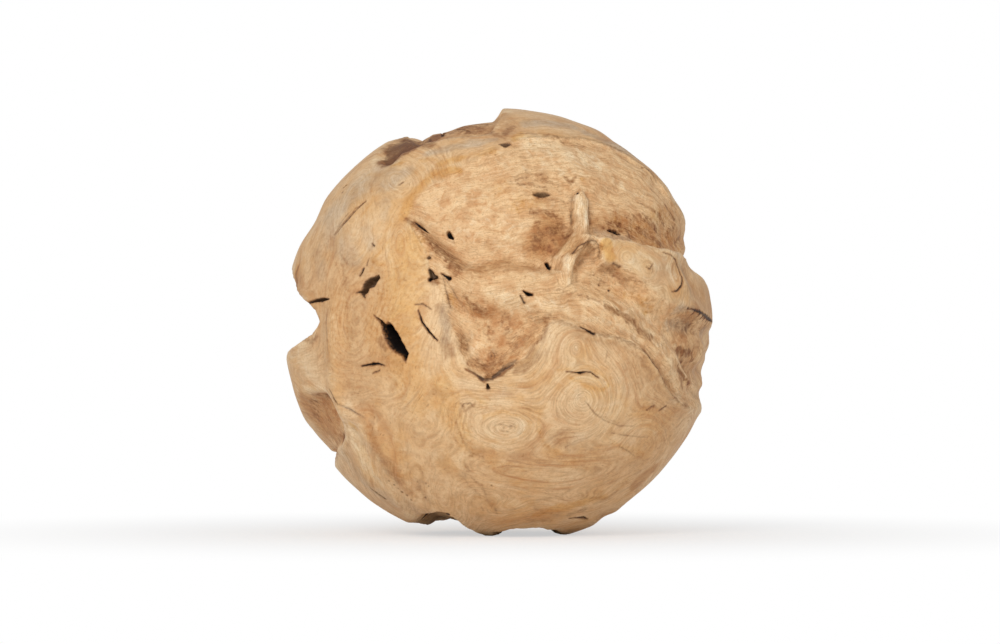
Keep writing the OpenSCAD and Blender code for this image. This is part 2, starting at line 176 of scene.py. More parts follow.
# Smaller hollow low in the back
BACK_LOW_EDGE = [
    (-120, -20, 24), (-70, -10, 24), (-40, -45, 20), (-60, -95, 24), (-110, -100, 24),
    (-140, -60, 24)]
# Crest of the side root
SIDE_ROOT = [
    (10, 22, 10, 1.5), (30, 14, 10, 3), (60, 7, 11, 3.5), (83, 0, 11, 3.5), (102, -8, 11, 3),
    (122, -27, 10, 3), (141, -50, 10, 2.5), (168, -66, 10, 2)]
# Crease under the side root
CREASE = [
    (29, 6, 5, -2), (44, 2, 5, -3), (60, -4, 5, -3), (77, -7, 5, -3), (89, -10, 5, -3),
    (97, -16, 5, -3), (107, -26, 5, -3), (117, -39, 5, -3), (126, -50, 5, -3),
    (137, -59, 5, -2.5), (152, -66, 5, -2)]
# Groove along the foot of the wide hollow, from its left tip
TIP_GROOVE = [
    (-63, 73, 7, -3), (-54, 64, 8, -4), (-43, 52, 9, -5), (-33, 43, 9, -5), (-23, 36, 10, -2)]
# Valley over the shoulder
SHOULDER_VALLEY = [
    (30, 58, 16, -2), (45, 68, 16, -2), (75, 74, 14, -2), (100, 71, 16, -3), (125, 67, 16, -3),
    (150, 68, 18, -2)]
# Stem of the rootlet, whose heights stand over the hollow's floor
ROOTLET_STEM = [
    (61.5, 98.5, 7, 6.5), (61, 90, 6.4, 9), (60, 79, 5.8, 10), (58.5, 68, 6.6, 11)]
# Left leg of the rootlet
ROOTLET_LEFT = [
    (58.5, 68, 6.6, 11), (51.5, 58, 6.6, 9.5), (45, 50, 7, 7), (42.5, 41, 7, 4), (43, 32, 5, 1)]
# Right leg of the rootlet
ROOTLET_RIGHT = [
    (58.5, 68, 6.6, 11), (65, 63, 6, 7), (72, 60, 5, 4), (80, 58, 4, 1.5)]
# Valley down the left side
SIDE_VALLEY = [
    (-126, 26, 14, -1), (-124, 5, 14, -4), (-122, -20, 14, -4.5), (-124, -45, 14, -4.5),
    (-117, -60, 14, -5), (-103, -68, 14, -5), (-92, -86, 14, -4.5), (-82, -105, 14, -4),
    (-71, -128, 13, -3), (-62, -150, 12, -2)]
# Ridge between the flutes low on the left
FLUTE_RIDGE = [
    (-118, -70, 10, 1.5), (-112, -95, 12, 2), (-105, -125, 14, 2), (-95, -150, 12, 1)]
# Flute beside it
FLUTE_GROOVE = [
    (-98, -95, 10, -1.5), (-90, -120, 10, -2), (-82, -145, 10, -2), (-78, -160, 10, -1)]
# Sill between the tip groove and the bowl
SILL = [
    (-50, 44, 6, 2), (-42, 38, 7, 3), (-32, 28, 7, 2.5), (-24, 22, 7, 1)]
# Small pocket in the sill
SILL_POCKET = [
    (-26, 20, 5, -1), (-20, 14, 6, -3), (-12, 10, 6, -2)]

# Notches where hollows run out of the sides, seen from the front:
# (angle, half angle, depth, half length from front to back)
NOTCHES = [
    (18.3, 5.3, 5.9, 60), (27, 7.5, 4, 60), (34, 8, 2.6, 40), (106, 6, 1.8, 30),
    (118.5, 4, 1.3, 40), (151, 8, 2, 35), (169, 3, 2.2, 30), (184.8, 3.8, 3, 30),
    (218, 2.2, 3.4, 30), (247.2, 3.5, 3, 30), (265, 6.5, 3, 40), (271, 3, 1.5, 30),
    (298, 4, 2, 30), (335, 5, 1.6, 30), (341, 4.8, 5.6, 50), (347, 4, 4.2, 50),
    (354, 5, -3.2, 40)]
# Band down the right edge where the skin has been sanded smooth
SANDED_RIM = [
    (178, 2, 8), (176, -10, 8), (178, -30, 8), (184, -52, 8), (190, -80, 8), (236, -84, 10),
    (240, -40, 10), (236, 2, 8), (206, 6, 6)]
# Slow waves of the weathered skin: (direction, length of a wave, height)
SWELL = [
    ((0.83, 0.25, 0.50), 43, 0.5), ((-0.36, 0.18, 0.91), 34, 0.45),
    ((0.68, -0.42, -0.60), 27, 0.4), ((0.19, 0.85, 0.48), 52, 0.4),
    ((0.60, 0.07, -0.80), 22, 0.3)]

# Hollows: (outline, name of the depth or a depth in mm, whether the bank has a crisp edge)
FRONT_HOLLOWS = [
    (SKIN_EDGE, "skin_depth", True),
    (UPPER_EDGE, "upper_depth", False),
    (POCKET_EDGE, 3.25, False),
    (BOWL_EDGE, "bowl_depth", False),
    (SLOPE_EDGE, "slope_depth", False),
    (LOBE_EDGE, 5.5, False),
    (SADDLE_EDGE, "saddle_depth", True),
    (TOP_SCOOP_EDGE, 4.5, True),
    (BITE_EDGE, "bite_depth", True),
    (SIDE_SCOOP_EDGE, 8, True),
    (UNDER_EDGE, "under_depth", True),
    (UNDER_LEFT_EDGE, 13, True),
    (FLANK_EDGE, 2.2, False),
    (CRESCENT_EDGE, 2.7, False)]
BACK_HOLLOWS = [(BACK_EDGE, "back_depth", False), (BACK_LOW_EDGE, 13, True)]
GROOVES = [CREASE, TIP_GROOVE, SHOULDER_VALLEY, SIDE_VALLEY, FLUTE_GROOVE, SILL_POCKET]
RIDGES = [SIDE_ROOT, FLUTE_RIDGE, SILL]
# Hollows outside the skin whose wood is rough too, and those whose banks need a finer mesh
ROUGH_SCOOPS = [SIDE_SCOOP_EDGE, TOP_SCOOP_EDGE, SADDLE_EDGE]
STEEP_BANKS = [*ROUGH_SCOOPS, BITE_EDGE, UNDER_LEFT_EDGE, UNDER_EDGE]

# The longer tables list their entries by the part of the chart where the average of their
# points lies: the centre is 120 mm square, and the other parts lie round it.

# Cracks, slots and small holes, where a single point is a round hole, and two painted shadow
# lines.
# How dark is the near-black painted in as their shade: (depth, how dark, [(x, z, half width),
# ...])
CUTS = [
    # Upper left
    (5, 1.0, [(-64, 205, 0.7), (-61, 197, 1.4)]), (3, 0.8, [(-134, 118, 0.8), (-131, 119, 0.5)]),
    (1.5, 0.6, [(-133, 112, 0.6)]), (1.5, 0.7, [(-77, 106, 0.4), (-74, 108, 0.4)]),
    (2.5, 0.6, [(-104, 96, 0.3), (-112, 90, 0.5), (-118, 84, 0.8), (-124, 78, 0.5),
                (-130, 71, 0.3)]),
    (1.2, 0.4, [(-120, 88, 0.3), (-128, 78, 0.3)]),
    # Top
    (8, 1.0, [(-61, 199, 1.7), (-58, 190, 2), (-56, 178, 0.9)]),
    (5, 0.55, [(24, 101.5, 0.7), (28, 102.5, 1.9), (32, 103, 2), (37, 103, 0.7)]),
    (7, 1.0, [(-62, 74.5, 0.7), (-59, 72.5, 1.4), (-56, 70.5, 0.5)]),
    (9, 1.0, [(-42, 73, 1.3), (-41, 71, 2), (-38.5, 69, 0.9)]),
    (4, 0.65, [(-2, 138, 0.5), (1.5, 138, 1.5), (6, 140, 0.9)]),
    # The first is no crack: a painted shadow line down the shaded left side of the rootlet's stem
    (1.2, 0.4, [(55.5, 97, 0.3), (54.5, 88, 0.4), (54, 80, 0.3)]), (2, 1.0, [(57.5, 102, 0.8)]),
    (3, 0.8, [(-45, 190, 0.5), (-30, 176, 0.5)]),
    # Upper right
    (8, 1.0, [(84, 77, 0.5), (88, 77, 1.4), (92, 76, 1.8), (95, 75, 0.7)]),
    (0.7, 0.28, [(20, 148, 0.3), (45, 152, 0.3), (66, 156, 0.3), (87, 155, 0.3), (103, 151, 0.3),
                 (122, 142, 0.3), (141, 125, 0.3)]),
    (1.2, 0.4, [(58, 104.5, 0.3), (63, 104, 0.3), (66, 100.5, 0.3), (63.5, 98, 0.25)]),
    (1.5, 0.35, [(69.5, 96, 0.4), (70, 88, 0.4), (69, 80, 0.3)]),
    # Left
    (5, 0.75, [(-155, 18.5, 0.6), (-145, 20, 1.2), (-137, 20.5, 1.7), (-132, 20.5, 1),
               (-128, 20.5, 0.4)]),
    (0.8, 0.3, [(-128, 9, 0.25), (-127, -6, 0.3), (-126.5, -20, 0.25)]),
    (4, 0.9, [(-100, -28, 0.5), (-95, -27, 0.7), (-91, -26.3, 1.1), (-86, -26, 0.6),
              (-82, -27, 0.3)]),
    (2.5, 0.6, [(-92, -33, 0.3), (-86, -30.5, 0.5)]), (4, 0.9, [(-102, 37, 0.8), (-99, 42, 0.5)]),
    (1.5, 0.5, [(-97, 44, 0.4), (-96, 48, 0.3)]), (2, 0.6, [(-94, 60, 0.5), (-92, 58, 0.6)]),
    (1.5, 0.6, [(-126, -46, 0.3), (-122, -53, 0.6), (-119, -56, 0.3)]),
    (1, 0.4, [(-118, -56, 0.3), (-108, -60, 0.5), (-99, -64, 0.3)]),
    # Centre
    (5, 1.0, [(-57, 11, 0.3), (-54, 3, 0.7), (-49, -4, 0.8), (-44, -9, 0.4)]),
    (2, 0.6, [(-59, 15, 0.3), (-54, 15.5, 0.5), (-48, 12, 0.3)]),
    (3, 0.85, [(43, -30, 0.25), (50, -31, 0.4), (53, -31.3, 1.1), (56, -30.5, 0.4),
               (60, -31, 0.5), (66, -35, 0.25)]),
    (7, 1.0, [(34, 48, 1.5), (35.5, 45, 1.4), (36, 43.5, 0.5)]), (3, 0.6, [(-50, 47, 1.4)]),
    (5, 0.7, [(-49, 38, 1.3), (-47, 34, 2.1), (-45, 34, 1.3)]),
    (8, 1.0, [(-49, 32, 1.4), (-46, 34, 0.8)]),
    (5, 1.0, [(-41, 36, 0.5), (-38, 34, 0.7), (-35.5, 32.5, 1.4)]),
    (6, 1.0, [(14, 24, 0.5), (17, 22, 1.4), (20, 21.5, 0.8)]),
    (3, 0.6, [(12, 21, 0.5), (15, 16, 0.7)]),
    (1.5, 0.45, [(-27, -55.5, 0.3), (-26.5, -52.5, 0.3), (-22, -51.5, 0.3), (-19.5, -54, 0.25)]),
    (4, 0.8, [(-10, -38.5, 0.5), (-9.5, -41, 1.4)]),
    (1.2, 0.4, [(-23, -28, 0.3), (-18, -32, 0.6)]),
    (1.2, 0.6, [(-17, -32.5, 0.5), (-13, -35.3, 1.1)]),
    (1.2, 0.35, [(-12, -35.5, 0.8), (-7, -35, 1)]),
    (1.2, 0.5, [(-6.5, -34, 0.9), (-2, -31, 1.2)]),
    (1.2, 0.65, [(-4, -31.5, 0.4), (0, -28.8, 0.9), (5, -26.4, 0.5)]),
    (1.2, 0.35, [(1, -27.5, 1.3), (6, -25, 1.3), (10, -22, 0.4)]),
    (0.8, 0.4, [(-8, -18.2, 0.25), (-10.4, -20, 0.3), (-10.2, -22.6, 0.3), (-7.6, -23.8, 0.3),
                (-5.4, -22.2, 0.3), (-5.6, -19.6, 0.3), (-7.6, -18.2, 0.2)]),
    (0.8, 0.5, [(-8, -21, 0.6)]),
    (1, 0.4, [(-40, 33, 0.3), (-38.5, 26, 0.4), (-37, 20, 0.4), (-35.5, 13, 0.3)]),
    (1, 0.35, [(-39, 33, 0.3), (-34, 26, 0.3), (-31.5, 20, 0.4)]),
    # No crack: a painted shadow line where the side root overhangs the crease
    (3, 0.8, [(52, 0, 0.4), (57, -3, 0.7), (61, -5, 0.9)]),
    (1.6, 0.6, [(48, 50, 0.5), (52, 55, 0.5), (57, 57.5, 0.4)]),
    (0.6, 0.3, [(52, -46.5, 0.25), (55, -44.5, 0.3)]),
    # Right
    (0.8, 0.35, [(72, -17, 0.25), (71, -24, 0.25)]),
    (2.5, 0.7, [(98, -16, 0.3), (106, -24, 0.6), (110, -29, 0.3)]),
    (2.5, 0.8, [(121, 56, 0.2), (128, 55, 0.25), (135, 52, 0.3), (140, 46, 0.4), (140, 38.5, 0.5),
                (137, 32, 0.7), (131.5, 27, 0.6), (126, 26, 0.3)]),
    (0.9, 0.5, [(57, 57.5, 0.4), (62, 60, 0.4), (66, 59, 0.4), (69, 55, 0.4), (69, 49, 0.2)]),
    (1.5, 0.5, [(78, 45, 0.4), (84, 43, 0.5)]), (1, 0.9, [(143, 14.5, 0.7)]),
    (1.2, 0.7, [(147, 14, 0.3), (153, 12.5, 0.7), (163, 11, 1), (176, 9, 1.3), (192, 6.5, 1.3),
                (205, 5, 0.8)]),
    (1.2, 1.0, [(151, 14, 0.4), (153, 10, 0.3)]), (1.2, 1.0, [(158, 13, 0.5), (160, 8.5, 0.4)]),
    (1.2, 1.0, [(165, 12, 0.6), (167, 6.5, 0.4)]),
    (1.2, 1.0, [(173, 11, 0.6), (174.5, 5.5, 0.4)]),
    (1.2, 1.0, [(181, 10, 0.7), (182, 4.5, 0.4)]), (1.2, 1.0, [(189, 9, 0.7), (189, 4, 0.4)]),
    (1.2, 0.6, [(104, 43, 0.3), (107, 42, 0.4), (110, 46, 0.3)]), (1.2, 0.7, [(72, 31, 0.6)]),
    (1.5, 0.8, [(80, 27, 0.7)]), (1.2, 0.6, [(106, -61, 0.3), (112, -58, 0.3)]),
    # Lower left
    (2.5, 0.5, [(-108, -131, 0.5), (-102, -135, 1.1), (-95, -141, 0.5)]),
    (3, 0.9, [(-76.5, -126, 0.7)]), (2.5, 0.9, [(-73, -129, 0.6)]), (2, 0.8, [(-82, -120, 0.5)]),
    (2, 0.8, [(-86, -117, 0.4)]), (2, 0.7, [(-79, -123, 0.4)]), (2, 0.8, [(-70, -133, 0.5)]),
    (1.5, 0.8, [(-77, -184, 1), (-72, -181, 3), (-69, -174, 2)]),
    # Bottom
    (2, 0.7, [(-57, -117, 0.4)]), (2, 0.7, [(-55, -119, 0.3)]),
    (1.5, 0.8, [(-57, -150, 1), (-50, -148.5, 3), (-43, -148, 1.8)]),
    (1.5, 0.7, [(-64, -157, 2), (-56, -158, 1.5)]), (1.5, 0.7, [(-59, -131, 0.5)]),
    (1.5, 0.6, [(-8, -115, 0.5)]),
    (0.8, 0.22, [(-5, -67.5, 0.3), (0, -66.5, 0.4), (5, -68.5, 0.4), (8, -66.5, 0.3)]),
    (0.8, 0.22, [(-1, -71, 0.3), (4, -72, 0.4)]), (1, 0.35, [(1, -69, 0.5)]),
    # Lower right
    (5, 0.9, [(54, -155, 0.4), (60, -156, 0.7), (66, -158, 1.7), (72, -163, 0.7)]),
    (1.2, 0.32, [(57, -51, 0.2), (63.5, -59.5, 0.3), (72, -66, 0.3), (84.5, -71.5, 0.25),
                 (97, -73, 0.2)]),
    (1.2, 0.35, [(78, -76, 0.2), (92, -80, 0.3), (110, -84, 0.2)]),
    (0.8, 0.3, [(86, -88, 0.25), (94, -93, 0.35), (101, -99, 0.25)]),
    (1.2, 0.6, [(117, -63, 0.3), (124, -60, 0.4)])]
# Two ragged holes, whose near-black inside is painted shade, and the darkened floor of the
# scoop beside the saddle: (depth, how dark, width of the bank, [(x, z), ...])
HOLES = [
    (26, 1.0, 1.2, [(-90, 8.5), (-86, 4.5), (-84, 1), (-83, -4), (-81, -9), (-78, -14),
                    (-74, -17.5), (-69, -20), (-66, -24.5), (-64, -18), (-66, -14), (-69, -9),
                    (-71.5, -4.5), (-74.5, 0), (-77, 2.5), (-79, 3.5), (-80.5, 1.5), (-83, 4.2)]),
    (8, 0.7, 1.2, [(-105, 24), (-101, 26), (-100, 28), (-98, 32), (-94, 35), (-91, 35), (-87, 37),
                   (-86, 34), (-88, 31), (-90, 28), (-94, 27), (-95, 23), (-97, 20), (-99, 22),
                   (-101, 24)]),
    (0.3, 0.2, 1.2, [(-101, 141), (-97, 134), (-88, 133), (-81, 141), (-67, 147), (-62, 152),
                     (-64, 170), (-78, 196), (-96, 196), (-106, 168)])]
# Lumps, negative for dents: (x, z, radius, height)
LUMPS = [
    # Top
    (34, 62, 6, -1.5), (60, 101, 4, -1.2), (30, 98, 8, -1.5), (10, 100, 14, 1),
    (-10, 110, 16, -1), (60, 120, 18, 0.8),
    # Upper right
    (101, 77, 4.5, 2.2), (66, 103, 6, -2.5), (98, 83, 4, -1), (110, 84, 6, -1), (128, 80, 8, -1),
    # Left
    (-97, 23, 3, 4), (-92, 29, 2, 3),
    # Centre
    (57, 49, 9, -3), (-20, -16, 6, 1), (-8, -14, 7, 1.2), (4, -4, 8, 1), (-24, -4, 7, 0.8),
    (-6, 8, 8, -1), (-14, -26, 6, 0.8), (16, -10, 6, -1), (-30, 60, 12, 1), (4, 50, 14, -1),
    # Right
    (92, 47, 7, 0.6), (152, -22, 8, 1.2), (150, -45, 5, -1.2),
    # Lower left
    (-93, -80, 8, -1), (-89, -90, 8, -1.2), (-84, -99, 8, -1.2), (-79, -108, 8, -1.2),
    (-74, -117, 8, -1.1), (-70, -127, 8, -1), (-108, -84, 9, 0.8), (-106, -94, 9, 0.9),
    (-102, -104, 9, 0.9), (-97, -114, 9, 0.8), (-66, -100, 9, 0.8),
    # Bottom
    (-60, -111, 9, 0.8), (-54, -122, 9, 0.7)]

# ---- Layout of the finish ----

# Knots that the grain runs round: (x, z, stretch, angle of the long way, reach). A point
# belongs to the knot with the least distance less reach.
KNOTS = [
    (55, -50, 1.0, 0, 24), (2, -69, 1.5, -4, 22), (50, -14, 1.0, 0, 5), (-23, -56, 1.4, 30, 3),
    (134, 42, 2.8, -66, 8), (7, -134, 1.7, -35, 2), (57, -130, 2.2, 4, 2)]
# Centres that the grain bends round without rings of its own
BENDS = [
    (110, -90, 1.5, 35, 10), (-76, -6, 2.6, -58, 14), (88, 50, 1.3, -30, 10),
    (106, 42, 1.2, -30, 8), (-116, 88, 3.2, 54, 18), (-80, 112, 2.4, 30, 8),
    (-56, 6, 3.4, -70, 12), (-104, -44, 4.5, -4, 12), (-88, -112, 5.0, -62, 14),
    (-128, 0, 8.0, 90, 10), (-44, -128, 3.4, -75, 8), (28, -106, 9.0, 2, 15),
    (-72, 58, 3.2, 75, 10), (-160, 75, 3.0, 65, 8), (-156, -40, 9.0, 4, 12), (34, 170, 3.0, 5, 6),
    (150, -110, 2.0, 60, 4), (168, 30, 2.2, 80, 6)]
# Knots of the back, on its own chart
BACK_KNOTS = [
    (-100, 90, 1.4, 30, 8), (20, 150, 2.0, 0, 6), (130, 80, 1.5, -40, 10), (60, 40, 1.2, 0, 4),
    (-40, 20, 2.4, 70, 8), (-150, -10, 1.5, 90, 6), (-80, -70, 1.6, 20, 6), (10, -90, 1.3, 0, 14),
    (120, -60, 2.2, -50, 8), (70, -150, 1.8, 10, 6), (-90, -160, 2.0, 30, 6),
    (170, -10, 2.0, 80, 4)]
# Lines that the fibres of the weathered skin follow: (offset, [(x, z), ...])
FLOWS = [
    (100, [(-70, 92), (-52, 108), (-25, 126), (10, 142), (50, 152), (95, 150), (130, 134),
           (160, 112), (200, 96)]),
    (52, [(-62, 78), (-30, 92), (15, 99), (60, 102), (100, 96), (135, 82), (170, 66)]),
    (-94, [(-40, 6), (-34, -12), (-24, -26), (-11, -35), (2, -29), (14, -21), (24, -11), (34, -3),
           (52, 2)]),
    (0, [(-68, 80), (-52, 62), (-36, 45), (-20, 34), (4, 33), (24, 42), (42, 60), (80, 68),
         (120, 62), (160, 58)]),
    (-50, [(-40, 10), (-10, 10), (12, 20), (30, 14), (60, 7), (83, 0), (102, -8), (122, -27),
           (141, -50), (168, -66)])]

# Tones laid on in strokes: (strength, [(x, z, half width), ...]), where a single point is a
# round spot. Tan is the broad brown of the hollows, and in places painted shade in grooves,
# under the shoulder and in the rootlet's arch.
TAN = [
    # Upper left
    (1.2, [(-94, 136, 14), (-80, 148, 18), (-66, 156, 18), (-84, 175, 28)]),
    # Top
    (1.25, [(28, 64, 22), (38, 76, 22), (46, 62, 18)]),
    (0.8, [(-60, 190, 24), (-30, 180, 28), (-4, 174, 20)]), (0.6, [(0, 150, 20), (8, 164, 14)]),
    (0.8, [(-56, 168, 14), (-40, 160, 12), (-24, 158, 10)]),
    # Upper right
    (0.8, [(72, 82, 12), (90, 84, 16), (112, 82, 20), (132, 76, 24), (150, 74, 26),
           (166, 66, 26)]),
    (0.5, [(150, 100, 24), (172, 88, 28), (190, 76, 30)]),
    # Left
    (0.55, [(-92, 30, 30), (-88, -18, 32)]), (0.3, [(-86, -30, 34), (-72, -60, 30)]),
    (0.5, [(-140, 60, 30), (-142, -24, 24)]),
    (0.6, [(-120, 44, 28), (-114, 18, 34), (-112, -18, 34), (-96, -50, 26)]),
    (0.3, [(-104, -16, 12), (-100, -40, 14)]), (0.7, [(-172, 34, 22)]),
    # Centre
    (0.6, [(-22, 17, 10), (-12, 12, 12)]), (0.45, [(-4, -4, 16), (2, -18, 12)]),
    (0.55, [(10, 0, 12), (18, -6, 12)]),
    # Painted shade along the tip groove
    (0.7, [(-66, 76, 6), (-56, 66, 7), (-46, 56, 9), (-36, 45, 10), (-26, 36, 8)]),
    (0.75, [(-20, 39, 10), (-2, 46, 12), (20, 46, 12)]), (0.3, [(57, 50, 12)]),
    # The first is painted shade on the lit face of the ridge inside the rootlet's arch
    (0.6, [(52, 46, 4), (52, 39, 4), (54, 33, 3)]), (0.7, [(-10, 60, 8)]),
    (0.5, [(-20, -26, 9), (-8, -27, 9), (6, -20, 8)]),
    # Right
    # Painted shade under the overhang of the shoulder, on this line and the next
    (0.4, [(68, 43, 6), (84, 39, 6), (102, 33, 7)]),
    (0.25, [(60, 30, 16), (84, 24, 14), (104, 18, 12)]),
    (0.7, [(150, 8, 22), (160, -16, 24), (164, -42, 20)]), (0.5, [(186, 0, 30), (190, -40, 30)]),
    (0.5, [(96, -26, 22), (118, -56, 24), (134, -74, 26)]),
    (0.25, [(100, 44, 16), (112, 42, 12)]), (0.6, [(158, 30, 20), (190, 20, 24)]),
    (0.5, [(148, 60, 8), (151, 46, 8), (148, 32, 8)]),
    # Lower left
    (1.3, [(-140, -66, 16), (-152, -76, 26), (-156, -90, 24)]),
    (0.9, [(-172, -63, 12), (-174, -80, 14), (-168, -98, 12)]),
    (0.25, [(-162, -112, 24), (-168, -128, 20)]),
    # Painted shade along the lower end of the valley down the left side
    (0.8, [(-96, -72, 5), (-90, -90, 6), (-80, -106, 7), (-69, -129, 7)]),
    (0.35, [(-80, -92, 14), (-66, -120, 14)]),
    # Bottom
    (0.9, [(42, -78, 12)]), (0.15, [(-30, -132, 30), (30, -132, 34), (84, -140, 34)]),
    (0.5, [(-16, -88, 8), (8, -93, 9), (30, -93, 9), (46, -95, 7)]),
    (0.35, [(-20, -98, 16), (10, -104, 18), (40, -100, 14)]),
    (0.4, [(-24, -112, 10), (-12, -122, 10), (-6, -134, 8)]), (0.3, [(-50, -110, 24)]),
    # Lower right
    (1.3, [(124, -118, 10), (112, -131, 12)]),
    (0.45, [(60, -96, 26), (100, -112, 34), (130, -90, 30)])]
